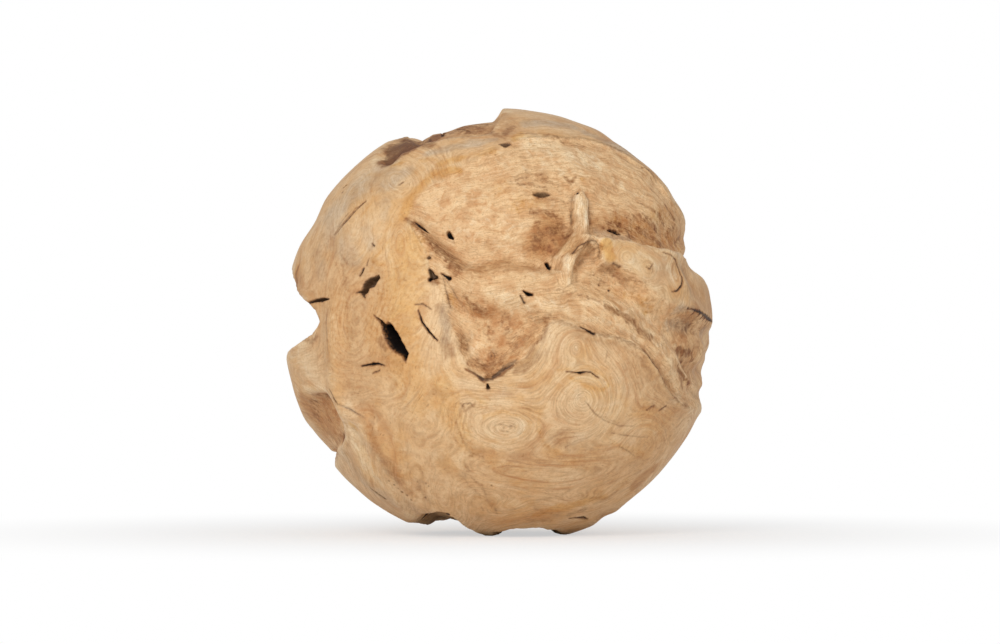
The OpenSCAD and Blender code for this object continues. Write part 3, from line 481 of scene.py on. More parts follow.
# Darker brown streaks and rims, and in places painted shade in grooves, in the crease under the
# side root, under the shoulder and in the rootlet's arch
BROWN = [
    # Upper left
    (0.9, [(-66, 146, 6), (-57, 144, 7)]),
    (1.0, [(-97, 129, 3), (-90, 130, 4), (-80, 138, 4), (-68, 143, 3)]),
    (1.6, [(-99, 138, 10), (-86, 147, 15), (-66, 154, 12)]),
    (1.6, [(-94, 162, 22), (-76, 170, 20), (-64, 178, 16)]),
    (1.0, [(-96, 190, 16), (-84, 196, 14)]),
    (0.8, [(-104, 95, 0.8), (-113, 90, 1.2), (-120, 82, 1.4), (-130, 71, 0.8)]),
    (0.6, [(-116, 90, 0.7), (-126, 76, 0.7)]), (0.8, [(-134, 118, 1.4)]), (0.7, [(-133, 112, 1)]),
    (0.5, [(-77, 107, 1), (-75, 108, 1)]), (0.5, [(-66, 130, 2), (-58, 128, 2)]),
    # Top
    (0.6, [(28, 64, 14), (40, 74, 14)]), (0.8, [(36, 88, 3), (46, 82, 6), (50, 72, 5)]),
    (0.9, [(44, 76, 8)]), (0.9, [(34, 62, 7), (37, 59, 4)]), (0.5, [(28, 78, 7)]),
    (0.6, [(24, 88, 4), (40, 90, 3)]),
    (0.6, [(10, 113, 4), (20, 116, 5), (32, 115, 5), (43, 112, 4)]),
    (0.6, [(11, 108, 2.5), (24, 109, 3), (34, 108, 2.5)]),
    (0.8, [(49, 118, 2), (54, 113, 3), (57, 118, 2)]),
    (0.6, [(24, 102, 3), (44, 99, 2), (52, 98, 1)]),
    (0.9, [(-56, 149, 4), (-36, 152, 5), (-20, 150, 4), (-10, 153, 4)]),
    (0.7, [(-48, 186, 16), (-24, 178, 16)]), (0.8, [(-40, 190, 8), (-24, 196, 9), (-12, 190, 6)]),
    (0.6, [(-10, 152, 3), (2, 146, 4)]), (0.8, [(2, 152, 6), (8, 160, 5)]),
    (0.7, [(14, 150, 2), (40, 151, 1.6), (70, 149, 1.6)]),
    # Upper right
    (0.6, [(82, 84, 4), (98, 83, 5), (106, 80, 4)]),
    (0.6, [(72, 80, 3), (90, 79, 3), (108, 74, 4)]),
    (0.7, [(112, 84, 5), (128, 78, 6), (140, 72, 5)]), (0.9, [(148, 64, 5), (162, 64, 7)]),
    (0.6, [(104, 92, 4), (124, 92, 5), (140, 86, 4)]), (0.5, [(150, 84, 4), (160, 92, 5)]),
    (0.6, [(170, 80, 5), (180, 92, 4)]), (0.7, [(129, 119, 1.6), (145, 108, 2), (162, 97, 2)]),
    (0.7, [(123, 139, 1.4), (146, 130, 1.6), (158, 122, 1.6), (169, 112, 2)]),
    (0.6, [(112, 104, 1.4), (130, 100, 1.8), (150, 92, 2)]),
    # Left
    (0.6, [(-85, -8, 3), (-83, -15, 3.4)]),
    (0.7, [(-160, -58, 3), (-148, -56, 4), (-136, -58, 4)]),
    (1.1, [(-174, 58, 2.4), (-179, 48, 4), (-175, 36, 2.8)]),
    (0.8, [(-160, -8, 3), (-150, -12, 4), (-142, -8, 3)]), (0.7, [(-86, -10, 4), (-82, -16, 3)]),
    (0.5, [(-116, 50, 2), (-112, 44, 1)]), (0.4, [(-120, 60, 3), (-114, 30, 3)]),
    (0.4, [(-92, 48, 3), (-84, 40, 3)]),
    # Centre
    # Painted shade along the tip groove, on this line and the next two
    (0.8, [(-68, 77, 3), (-60, 70, 4), (-50, 60, 5), (-42, 53, 7), (-36, 45, 6), (-28, 38, 3)]),
    (1.0, [(-46, 31, 7)]), (0.3, [(-56, 62, 8), (-42, 50, 8)]),
    (0.6, [(-42, 52, 7), (-36, 45, 7), (-30, 38, 6)]),
    (0.9, [(-25, 21, 2), (-21, 16, 4), (-14, 12, 5)]), (0.4, [(-37, 20, 3), (-34, 8, 4)]),
    (0.5, [(-12, -3, 8), (-9, -9, 7)]), (0.45, [(1, 8, 7), (6, -4, 8), (8, -15, 7)]),
    (0.7, [(-30, -8, 6), (-27, -17, 4)]), (0.5, [(-22, -23, 5), (-13, -28, 6), (-2, -25, 6)]),
    (0.4, [(-7, -20, 6)]),
    (1.2, [(-24, -28, 1.4), (-17, -33, 2), (-11, -36, 2.2), (-3, -32, 2.6), (8, -25, 1.8)]),
    (0.8, [(10, -24, 1.4), (19, -17, 1.6), (26, -9, 2), (31, 2, 3)]),
    (0.4, [(22, 4, 6), (30, 4, 5)]),
    # Painted shade in the rootlet's arch, on this line and the next
    (0.5, [(49, 51, 2), (54, 56, 2.5), (64, 58, 2), (68, 52, 2)]),
    (0.25, [(52, 46, 3.5), (52, 38, 3)]),
    (0.7, [(-42, 14, 5), (-38, 5, 6), (-39, -6, 6), (-37, -19, 7)]),
    (0.7, [(10, -30, 6), (23, -18, 7)]), (0.4, [(-22, 6, 7), (-7, -7, 7)]),
    (0.4, [(30, 26, 2), (50, 24, 2)]), (0.4, [(50, -48, 0.8), (53, -46, 0.8)]),
    (0.7, [(-28, -53, 2), (-25, -57, 2), (-19, -53, 2)]),
    (0.5, [(6, -55, 1), (16, -56, 1.6), (22, -57, 1)]),
    (0.4, [(-14, -58, 1), (-6, -54, 1), (4, -56, 1)]),
    (0.5, [(-27, -57, 0.8), (-23, -52, 0.8), (-18, -55, 0.6)]),
    (0.4, [(44, -23, 0.6), (52, -26, 0.6)]),
    # Right
    # Painted shade along the crease under the side root, on this line and the next
    (0.7, [(30, 6, 3), (44, 1, 3), (60, -3, 3), (74, -7, 2.5), (88, -11, 2), (100, -18, 2)]),
    (0.8, [(100, -18, 2.5), (110, -28, 2.5), (122, -44, 2.5), (136, -58, 2.5), (150, -64, 2)]),
    # Painted shade under the overhang of the shoulder
    (0.5, [(70, 43, 2), (82, 41, 2.5)]), (0.5, [(84, 38, 2.5), (94, 35, 3), (104, 32, 2)]),
    (0.5, [(60, 38, 2), (80, 31, 2)]),
    (1.0, [(72, 14, 3), (80, 11, 4.4), (88, 6, 5.5), (96, 2, 5)]),
    (0.9, [(99, -1, 5), (108, -8, 4)]), (0.5, [(112, -6, 2), (116, -14, 2)]),
    (0.5, [(40, 24, 2), (60, 20, 2), (84, 12, 2)]),
    (1.0, [(143, -20, 4), (152, -22, 6), (164, -22, 5)]), (0.8, [(146, -27, 5), (154, -29, 5)]),
    (1.1, [(138, -34, 3.5), (148, -41, 4), (157, -48, 3.5)]),
    (0.9, [(166, -24, 2), (170, -32, 2.5)]), (1.0, [(160, 2, 3)]),
    (1.2, [(143, 15, 0.9), (153, 12.5, 1.3), (165, 10, 1.8), (180, 7, 1.8), (200, 5, 1.6)]),
    (0.3, [(138, 4, 6), (150, 0, 8), (162, -2, 8)]), (0.6, [(184, 0, 8), (196, -6, 8)]),
    (0.6, [(136, -30, 4), (146, -50, 3)]), (0.5, [(118, -40, 2), (132, -54, 2)]),
    (0.7, [(106, -61, 0.9), (112, -58, 0.9)]), (0.6, [(73, 31, 1.3)]), (0.8, [(80, 27, 1.3)]),
    (0.6, [(70, 17, 1)]), (0.7, [(72, 12, 1.5), (78, 10, 2)]),
    (0.5, [(104, 44, 0.8), (110, 40, 0.8), (108, 46, 0.8)]),
    # Lower left
    (0.4, [(-150, -80, 12)]), (0.3, [(-160, -104, 12)]), (0.5, [(-166, -66, 8), (-170, -84, 8)]),
    (1.0, [(-133, -62, 4), (-128, -72, 5), (-128, -86, 5), (-134, -97, 4)]),
    (0.8, [(-137, -104, 2.5), (-148, -117, 2.5), (-162, -130, 2.5)]),
    (0.6, [(-118, -72, 1.6), (-117, -84, 2), (-122, -94, 2)]),
    (0.5, [(-104, -134, 0.8), (-96, -138, 1)]),
    # Painted shade along the lower end of the valley down the left side
    (0.4, [(-96, -90, 4), (-86, -104, 5), (-78, -116, 4)]),
    # Bottom
    (0.5, [(24, -137, 3), (34, -142, 4), (43, -150, 3)]), (0.6, [(20, -152, 4), (36, -154, 5)]),
    (0.6, [(52, -150, 5), (66, -146, 5)]), (0.5, [(-26, -100, 7), (-30, -110, 6)]),
    (0.4, [(-30, -124, 5), (-40, -130, 4)]),
    (0.6, [(-22, -107, 2), (-15, -116, 2.5), (-10, -130, 2.5), (-4, -142, 2)]),
    (0.5, [(-26, -112, 2), (-19, -123, 2), (-14, -139, 2)]),
    (0.4, [(25, -131, 3), (37, -127, 3.2), (51, -123, 3)]),
    (0.6, [(-32, -64, 2.5), (-29, -76, 2.5), (-23, -86, 2.5), (-12, -92, 2.5)]),
    (0.4, [(25, -76, 3), (33, -86, 3)]),
    (0.5, [(-6, -67, 0.8), (2, -65, 1), (9, -68, 1), (6, -72, 0.8), (0, -71, 0.6)]),
    (0.5, [(-62, -122, 4), (-54, -136, 4)]),
    # Lower right
    (0.45, [(72, -144, 4), (84, -138, 4), (94, -131, 3)]),
    (0.5, [(58, -54, 1.4), (68, -63, 1.6), (84, -69, 1.2)]),
    (0.7, [(117, -63, 0.9), (124, -60, 0.9)]),
    (0.35, [(58, -128, 4), (74, -136, 4), (88, -140, 4)])]
# Yellow resin
AMBER = [
    # Upper left
    (0.8, [(-71, 78, 5), (-69, 88, 6), (-63, 99, 6), (-55, 107, 6)]),
    (1.0, [(-86, 126, 3), (-78, 128, 4)]),
    (0.6, [(-104, 112, 2.4), (-97, 98, 2.4), (-106, 84, 2.4)]),
    (0.6, [(-124, 110, 2.4), (-108, 124, 2.4), (-92, 118, 2.4)]),
    # Top
    (0.9, [(-52, 112, 6), (-42, 114, 7), (-33, 115, 5)]),
    (0.9, [(-48, 120, 5), (-36, 124, 5), (-26, 127, 4)]), (0.6, [(-24, 128, 5), (-8, 132, 6)]),
    (0.6, [(-64, 128, 4), (-50, 126, 4)]), (0.9, [(16, 150, 6), (10, 146, 5)]),
    (0.4, [(26, 98, 14), (10, 92, 12)]), (0.4, [(-2, 104, 12)]),
    # Upper right
    (0.4, [(128, 96, 10), (150, 100, 12)]), (0.5, [(92, 84, 12), (112, 82, 16), (132, 76, 18)]),
    (0.5, [(152, 82, 14), (174, 78, 16)]), (0.5, [(62, 116, 3), (66, 110, 3)]),
    (0.4, [(64, 90, 3)]),
    # Left
    (0.8, [(-66, 56, 22), (-66, 30, 28), (-70, 0, 26)]), (0.55, [(-68, -24, 26), (-60, -50, 24)]),
    (0.7, [(-80, 60, 2.4), (-92, 48, 2.4), (-84, 44, 2.4), (-72, 54, 2.4)]),
    (0.4, [(-72, 44, 22), (-70, 16, 16)]), (0.5, [(-90, -4, 14), (-84, 20, 14)]),
    (0.5, [(-90, 42, 5), (-74, 30, 6)]), (0.6, [(-70, -28, 3), (-60, -24, 3), (-56, -8, 3)]),
    (1.2, [(-178, 50, 9), (-176, 36, 6)]), (0.4, [(-118, -14, 26), (-122, 20, 20)]),
    (0.5, [(-70, -6, 6), (-82, 10, 6)]),
    # Centre
    (0.6, [(-40, -36, 12), (-34, -62, 16), (-26, -80, 12)]),
    (0.5, [(-26, -44, 4), (-12, -52, 4)]), (0.3, [(-14, -50, 14)]),
    (0.5, [(-42, -36, 3), (-28, -48, 4)]), (0.6, [(-60, 52, 3), (-50, 36, 3)]),
    (0.6, [(36, -28, 2.4), (46, -27, 2), (57, -27, 2), (67, -32, 2.4), (74, -38, 2.4)]),
    (0.5, [(-34, 20, 4), (-32, 8, 4)]),
    # Right
    (1.5, [(72, 57, 6), (75, 49, 7)]),
    (0.8, [(44, -35, 2.2), (56, -41, 2.4), (70, -44, 2.4), (75, -40, 2.2)]),
    (0.4, [(86, 26, 7), (100, 22, 8), (112, 12, 8)]),
    # Lower left
    (0.9, [(-112, -73, 4), (-106, -74, 3)]),
    # Bottom
    (0.55, [(-34, -44, 4), (-30, -54, 3.4), (-34, -66, 2.8), (-30, -78, 2.8), (-20, -86, 2.8)]),
    (0.5, [(-13, -62, 3), (2, -57, 3), (13, -60, 2.6), (19, -67, 2.6), (14, -77, 2.4)]),
    (0.5, [(27, -56, 3.4), (24, -68, 3.4), (30, -82, 2.8), (42, -92, 2.8)]),
    (0.4, [(-8, -98, 6), (14, -102, 8)]), (0.4, [(-20, -126, 6), (-8, -136, 6)]),
    (0.9, [(24, -146, 5), (44, -140, 7), (62, -137, 7), (82, -136, 5)]),
    # Lower right
    (0.5, [(80, -84, 4), (96, -92, 6), (110, -100, 6)]), (0.4, [(116, -72, 16), (100, -60, 12)]),
    (0.4, [(70, -134, 14), (96, -124, 14)])]
# Bleached wood
GREY = [
    # Upper left
    (0.8, [(-140, 90, 22), (-116, 110, 26), (-90, 122, 20)]),
    (0.8, [(-90, 108, 12), (-72, 118, 10)]),
    (0.7, [(-134, 76, 20), (-120, 60, 18), (-108, 48, 12)]), (0.6, [(-100, 70, 8), (-94, 58, 8)]),
    (0.5, [(-86, 80, 8), (-84, 96, 8)]),
    # Top
    (0.9, [(-58, 134, 6), (-40, 138, 8), (-18, 141, 7), (-4, 144, 4)]),
    (1.0, [(18, 166, 9), (38, 170, 12), (60, 170, 10)]), (0.5, [(56, 100, 4)]),
    # Upper right
    (0.9, [(70, 164, 8), (96, 158, 9), (120, 150, 8)]),
    (0.8, [(74, 70, 3), (92, 67, 3), (112, 63, 3), (130, 60, 3)]),
    (0.9, [(72, 76, 5), (86, 74, 5), (104, 70, 5)]),
    # Left
    (0.5, [(-148, 60, 12), (-140, 40, 10)]), (0.5, [(-128, 10, 1.5), (-126, -20, 1.5)]),
    (0.5, [(-126, -46, 1.2), (-121, -54, 1.6), (-112, -58, 1.6), (-100, -63, 1.6),
           (-92, -70, 2)]),
    # Centre
    (0.6, [(-50, 50, 4)]), (0.6, [(-38, 14, 5), (-40, 0, 6), (-38, -10, 4)]),
    (0.4, [(0, -44, 8), (16, -40, 8)]),
    # Right
    (0.6, [(136, 60, 4), (148, 40, 6), (146, 24, 8)]),
    (0.8, [(132, 2, 8), (144, 2, 10), (156, -2, 9)]), (0.8, [(134, 14, 5), (148, 14, 4)]),
    (0.4, [(104, -30, 3), (118, -46, 3), (134, -62, 3)]),
    # Lower left
    (0.4, [(-94, -86, 8), (-84, -104, 8), (-76, -120, 7)]),
    (0.6, [(-128, -104, 14), (-112, -126, 14), (-90, -144, 14)]),
    (0.5, [(-88, -140, 12), (-60, -148, 12)]),
    # Bottom
    (0.4, [(40, -78, 12), (60, -84, 12)])]
# Crests and edges that the sanding has left pale, and in places painted highlight on lit crests
# and on faces that would lie in shade
PALE = [
    # Top
    (0.7, [(26, 138, 8), (50, 142, 9), (76, 138, 7)]), (0.6, [(34, 124, 10), (60, 126, 10)]),
    (0.5, [(2, 128, 10), (14, 118, 12)]), (0.5, [(-30, 76, 12), (-6, 84, 14), (16, 76, 12)]),
    (0.7, [(-10, 60, 8), (8, 66, 10), (14, 56, 8)]), (0.4, [(-44, 96, 10), (-20, 100, 12)]),
    (1.1, [(20, 144, 12), (48, 140, 14), (76, 136, 12)]),
    # Upper right
    (1.0, [(62, 96, 3), (62, 84, 4), (61, 74, 4)]), (0.9, [(68, 66, 2), (78, 63, 2)]),
    (0.6, [(100, 118, 8), (116, 108, 8)]), (0.8, [(101, 77, 3)]),
    # Left
    (0.3, [(-136, 10, 8), (-134, -10, 10), (-130, -34, 8)]),
    (0.7, [(-150, -26, 14), (-160, -36, 10)]), (0.5, [(-144, -46, 4), (-132, -50, 3)]),
    (0.8, [(-112, -56, 4), (-104, -64, 4)]), (0.5, [(-132, 26, 3), (-126, 30, 3)]),
    (0.6, [(-96, -30, 3), (-92, -34, 4)]),
    # Centre
    (0.9, [(52, 64, 3), (46, 54, 4), (44, 42, 3), (46, 30, 2)]),
    # Painted highlight on the shaded face of the rootlet's left leg
    (1.2, [(52, 67, 4), (48, 62, 4), (44, 57, 4), (41, 52, 4)]),
    (0.9, [(-8, 24, 8), (6, 18, 8), (18, 14, 7)]), (0.5, [(-24, -8, 10), (-18, -22, 8)]),
    (0.8, [(10, 20, 6), (28, 16, 6), (44, 13, 5)]), (0.4, [(-4, -48, 8), (10, -50, 8)]),
    (0.7, [(44, -10, 8), (56, -40, 22), (72, -56, 20)]), (0.8, [(-42, -38, 4), (-37, -38, 3.5)]),
    (0.4, [(32, -14, 8), (34, -30, 8)]), (0.4, [(-56, -4, 5)]),
    (0.6, [(-38, 36, 2), (-32, 28, 3)]), (0.7, [(-48, 44, 3), (-42, 42, 3), (-36, 38, 2)]),
    # Right
    (1.0, [(88, 51, 8), (96, 48, 11), (108, 46, 9), (118, 46, 6)]),
    # The second is painted highlight in the shaded dent under the rootlet's arch
    (1.0, [(122, 52, 7), (126, 42, 9), (128, 33, 7)]), (0.7, [(57, 49, 5), (64, 48, 5)]),
    # Painted highlight along the shaded groove over the side root
    (1.1, [(82, 22, 6), (92, 14, 7), (107, 11, 8), (121, 4, 7)]),
    (1.2, [(60, -35, 3.5), (68, -39, 3.5), (73, -41, 2.5)]),
    # Painted highlight along the lit top of the side root, on this line and the next three
    (0.7, [(44, 10, 3), (64, 4, 4), (84, -2, 4), (100, -10, 4)]),
    (0.7, [(56, 18, 4), (78, 14, 4), (94, 6, 4)]),
    (0.9, [(104, 0, 6), (116, -12, 6), (124, -24, 6)]),
    (0.7, [(128, -34, 5), (138, -50, 4), (148, -60, 3)]),
    # Lower left
    # Pale wood along the flute ridge, partly painted highlight on its lit side
    (1.5, [(-110, -76, 9), (-109, -92, 10), (-104, -108, 9), (-96, -124, 7)]),
    (0.8, [(-126, -84, 7), (-130, -94, 7)]), (0.6, [(-72, -100, 6), (-60, -120, 6)]),
    (0.5, [(-120, -60, 3), (-118, -80, 4)]),
    # Bottom
    (1.0, [(-6, -70, 12), (10, -70, 13)]), (0.5, [(0, -84, 10)]),
    (0.4, [(30, -56, 14), (40, -74, 10)]), (0.3, [(60, -78, 16)]),
    (0.8, [(-6, -126, 5), (6, -131, 6), (16, -136, 5)])]
# Where the grain of the sanded wood runs long and even
CALM = [
    # Left
    (1.0, [(-160, -40, 18), (-140, -38, 12)]), (0.6, [(-106, 6, 14), (-104, -24, 16)]),
    # Bottom
    (1.0, [(-26, -94, 16), (0, -104, 20), (40, -108, 22), (80, -98, 22)])]
# Where the skin is curly instead of fibrous
CURLY = [
    # Top
    (0.7, [(-44, 86, 18), (-30, 68, 16)]), (0.6, [(-16, 92, 18), (0, 72, 18)]),
    (0.8, [(34, 66, 22)]),
    # Upper right
    (0.7, [(152, 66, 16), (176, 70, 20)]),
    # Centre
    (1.0, [(-14, 4, 22), (-8, -14, 22)]), (0.8, [(6, -2, 18), (10, -14, 12)]),
    # Right
    (0.8, [(148, -22, 18), (158, -46, 14)]), (0.5, [(84, 32, 14)]),
    # Lower left
    (0.9, [(-144, -70, 24), (-156, -100, 28)])]
STROKES = {
    "tan": TAN, "brown": BROWN, "amber": AMBER, "grey": GREY, "pale": PALE, "calm": CALM,
    "curly": CURLY}


# ---- Measures on the chart ----


def smooth(t):
    """0 to 1, level at both ends."""
    t = np.clip(t, 0, 1)
    return t * t * (3 - 2 * t)


def bank(t):
    """0 to 1, with a crisp edge at 0."""
    return (smooth(t) + np.sin(np.clip(t, 0, 1) * pi / 2)) / 2


def round_top(t):
    """0 to 1 as a quarter circle."""
    return np.sqrt(np.clip(1 - (1 - np.clip(t, 0, 1)) ** 2, 0, 1))


def chart(d, side):
    """Where directions lie on the chart of one side, as its viewer sees it."""
    k = R * np.sqrt(2 / np.maximum(1 + side * d[:, 1], 1e-6))
    return np.stack([-side * k * d[:, 0], k * d[:, 2]], 1)


def on_sphere(x, z, side):
    """The point of the sphere at a chart's x and z."""
    q = (x * x + z * z) / (2 * R * R)
    k = np.sqrt(max(2 - q, 0) / 2)
    return np.array([-side * x * k, side * R * (1 - q), z * k])


def edges(points, closed):
    """The pairs of neighbouring points of an outline or a line, or the only point twice."""
    return list(zip(points, points[1:] + points[:1] if closed else points[1:] or points))


def gap(p, a, b):
    """Distance of each point from the edge a-b, and how far along the edge it is."""
    start = np.array(a[:2], float)
    run = np.array(b[:2], float) - start
    s = np.clip((p - start) @ run / max(run @ run, 1e-9), 0, 1)
    return np.hypot(*(p - start - s[:, None] * run).T), s


def near(p, points, reach):
    """Which points are in the box round an outline, line or spot, widened by its reach."""
    corners = np.array([c[:2] for c in points], float)
    return np.all((p > corners.min(0) - reach) & (p < corners.max(0) + reach), axis=1)


def is_inside(p, outline):
    """Which points are inside an outline: those with an odd number of its edges on one side."""
    odd = np.zeros(len(p), bool)
    for a, b in edges(outline, True):
        if a[1] != b[1]:
            crosses = (a[1] > p[:, 1]) != (b[1] > p[:, 1])
            odd ^= crosses & (p[:, 0] < a[0] + (p[:, 1] - a[1]) / (b[1] - a[1]) * (b[0] - a[0]))
    return odd


def inset(p, outline):
    """How many bank widths each point lies inside an outline, from 0 to 1."""
    mask = near(p, outline, 0)
    q = p[mask]
    t = np.full(len(q), 1.0)
    for a, b in edges(outline, True):
        d, s = gap(q, a, b)
        t = np.minimum(t, d / (a[2] + s * (b[2] - a[2])))
    out = np.zeros(len(p))
    out[mask] = t * is_inside(q, outline)
    return out


def line_height(p, line, profile=smooth):
    """Height of a ridge, or depth of a groove, along a line."""
    best = np.zeros(len(p))
    for a, b in edges(line, False):
        d, s = gap(p, a, b)
        h = (a[3] + s * (b[3] - a[3])) * profile(1 - d / (a[2] + s * (b[2] - a[2])))
        best = np.where(np.abs(h) > np.abs(best), h, best)
    return best


def signed_gap(p, line):
    """Distance from a line, positive over it and negative under it."""
    best = np.full(len(p), 1e9)
    signed = np.zeros(len(p))
    for a, b in edges(line, False):
        d, s = gap(p, a, b)
        side = (b[0] - a[0]) * (p[:, 1] - a[1]) - (b[1] - a[1]) * (p[:, 0] - a[0])
        signed = np.where(d < best, np.sign(side) * d, signed)
        best = np.minimum(best, d)
    return signed


def slot_inset(p, line):
    """How far each point lies inside a line's width, in millimetres, negative outside it."""
    best = np.full(len(p), OUTSIDE_SLOT)
    for a, b in edges(line, False):
        d, s = gap(p, a, b)
        best = np.maximum(best, a[2] + s * (b[2] - a[2]) - d)
    return best


def hole_inset(p, outline):
    """The same for an outline."""
    d = np.min([gap(p, a, b)[0] for a, b in edges(outline, True)], axis=0)
    return np.where(is_inside(p, outline), d, -d)


def stroke(p, line):
    """1 on a line, or on its only point, and 0 from its half width outwards."""
    t = np.zeros(len(p))
    for a, b in edges(line, False):
        d, s = gap(p, a, b)
        t = np.maximum(t, 1 - d / (a[2] + s * (b[2] - a[2])))
    return t


def strokes(p, lines):
    """The strongest of the strokes at each point, with a level middle."""
    total = np.zeros(len(p))
    for strength, line in lines:
        mask = near(p, line, max(corner[2] for corner in line))
        total[mask] = np.maximum(total[mask], strength * smooth(1.25 * stroke(p[mask], line)))
    return total


def fibre_field(p):
    """A height over the lines that the fibres follow, in millimetres."""
    total = np.zeros(len(p))
    weights = np.zeros(len(p))
    for offset, line in FLOWS:
        d = signed_gap(p, line)
        weight = 1 / (d * d + FLOW_SOFTNESS)
        total += weight * (offset + d)
        weights += weight
    return total / weights


def strand(across, x, z, width, run):
    """Noise in strands of a width, which keep their height for about a run."""
    return noise.noise(Vector((across / width, x / run, z / run)))


def knot_distance(p, middle, stretch, angle, reach):
    """Distance in millimetres from a knot, shorter along its grain, less its reach."""
    out = middle / R
    right = np.cross((0, 0, 1), out)
    right /= np.linalg.norm(right)
    up = np.cross(out, right)
    long = cos(radians(angle)) * -right + sin(radians(angle)) * up
    off = p - middle
    along = off @ long
    across = np.sqrt(np.maximum((off ** 2).sum(1) - along ** 2, 0))
    return np.hypot(along / stretch, across) - reach


def knot_distances(p, table, side):
    """The distance of the points from each knot of a table."""
    return [knot_distance(p, on_sphere(x, z, side), *rest) for x, z, *rest in table]


def blended_least(values, softness):
    """The least of some values, rounded off where two of them meet."""
    return -softness * np.log(sum(np.exp(-v / softness) for v in values))


# ---- Surface ----


class Surface:
    """The ball's surface in a set of directions: its depth, and the fields its finish follows."""

    def __init__(self, directions, sides, form):
        noise.seed_set(SHIFT_SEED)
        self.d = directions
        self.sides = sides
        self.form = form
        self.front = chart(directions, FRONT)
        self.back = chart(directions, BACK)
        self.fibre = fibre_field(self.front)
        self.ragged = self.front + self.waver(9, 1.0) + self.waver(3.5, 0.4)
        self.skin = inset(self.ragged, SKIN_EDGE) * (1 - smooth(inset(self.front, SANDED_RIM)))
        self.hole = np.full(len(directions), OUTSIDE_HOLE)
        self.dark = np.zeros(len(directions))
        self.depth = self.hollows() + self.side_notches() + self.swell()
        self.depth -= self.rootlet() + self.lumps() + self.relief()
        # How far each place lies below the level round it: the finish darkens recesses with it,
        # partly dirt and partly painted shade, and lightens crests, partly wear and partly painted
        # highlight
        self.cavity = self.depth - self.evened(self.depth)
        self.depth += self.cuts()

    def waver(self, size, amount):
        """A random shift across the chart, in waves of a size."""
        shift = [noise.noise_vector(Vector(d) * (R / size)) for d in self.d]
        return np.array(shift)[:, ::2] * amount

    def evened(self, values):
        """The values averaged with their neighbours, round after round."""
        a, b = self.sides.T
        count = np.bincount(np.concatenate([a, b]), minlength=len(values))
        for _ in range(EVENING_ROUNDS):
            total = np.bincount(a, values[b], len(values)) + np.bincount(b, values[a], len(values))
            values = (values + total / count) / 2
        return values

    def deep(self, value):
        """A depth in millimetres, given so or as the name of one of the form's sizes."""
        return getattr(self.form, value) / MM if isinstance(value, str) else value

    def hollows(self):
        """The depth of hollows and grooves, less the height of ridges."""
        total = np.zeros(len(self.d))
        for place, hollows in ((self.ragged, FRONT_HOLLOWS), (self.back, BACK_HOLLOWS)):
            for outline, deep, crisp in hollows:
                total += self.deep(deep) * (bank if crisp else smooth)(inset(place, outline))
        for line in GROOVES:
            total += line_height(self.front, line)
        for line in RIDGES:
            total -= line_height(self.front, line)
        return total

    def side_notches(self):
        """The depth of the notches where hollows run out of the sides."""
        total = np.zeros(len(self.d))
        angle = np.degrees(np.arctan2(self.d[:, 2], self.d[:, 0]))
        for at, half_angle, deep, half_length in NOTCHES:
            turn = np.abs((angle - at + 540) % 360 - 180)
            fade = smooth(1.6 - 0.8 * np.abs(R * self.d[:, 1]) / half_length)
            total += deep * smooth(1 - turn / half_angle) * fade
        return total

    def swell(self):
        """Slow waves, stronger on the skin."""
        waves = sum(height * np.sin(2 * pi * R * (self.d @ np.array(way)) / span)
                    for way, span, height in SWELL)
        return waves * (0.25 + smooth(self.skin))

    def rootlet(self):
        """The height of the rootlet's stem and legs, along which its own fibres run."""
        tall = self.form.rootlet_height / (ROOTLET_STEM[-1][3] * MM)
        lines = (ROOTLET_STEM, ROOTLET_LEFT, ROOTLET_RIGHT)
        heights = [line_height(self.front, line, round_top) for line in lines]
        self.root = np.max(heights, axis=0)
        across = [signed_gap(self.front, line) for line in lines]
        own = np.choose(np.argmax(heights, axis=0), across)
        self.fibre = np.where(self.root > 0, own * 1.5, self.fibre)
        return self.root * tall

    def cuts(self):
        """The depth of cracks and holes, which also sets where they are and how dark the painted
        shade inside them is.
        """
        total = np.zeros(len(self.d))
        ragged = self.front + self.waver(2.5, 0.35)
        cracks = [(deep, dark, CRACK_BANK, line, slot_inset) for deep, dark, line in CUTS]
        holes = [(*hole, hole_inset) for hole in HOLES]
        for deep, dark, bank_width, line, inside in cracks + holes:
            mask = near(self.front, line, CUT_MARGIN)
            d = inside(ragged[mask], line)
            total[mask] = np.maximum(total[mask], deep * smooth(d / bank_width))
            self.dark[mask] = np.where(d > self.hole[mask], dark, self.dark[mask])
            self.hole[mask] = np.maximum(self.hole[mask], d)
        return total

    def lumps(self):
        """The height of small lumps, negative in dents."""
        total = np.zeros(len(self.d))
        for x, z, radius, height in LUMPS:
            mask = near(self.front, [(x, z)], radius)
            total[mask] += height * smooth(stroke(self.front[mask], [(x, z, radius)]))
        return total

    def relief(self):
        """Fine unevenness: strong on the weathered skin, faint on the sanded wood."""
        height = np.empty(len(self.d))
        for i, (d, across, (x, z)) in enumerate(zip(self.d, self.fibre, self.front)):
            p = Vector(d) * R
            lumpy = 0.7 * noise.fractal(p / 14, 1.0, 2.1, 3) + 0.3 * noise.noise(p / 4)
            strands = strand(across, x, z, 5, 26) + 0.5 * strand(across, x, z, 2.2, 12)
            height[i] = lumpy + 0.3 * strands
        return height * (0.1 + 0.9 * smooth(1.5 * self.skin)) * self.form.relief / MM

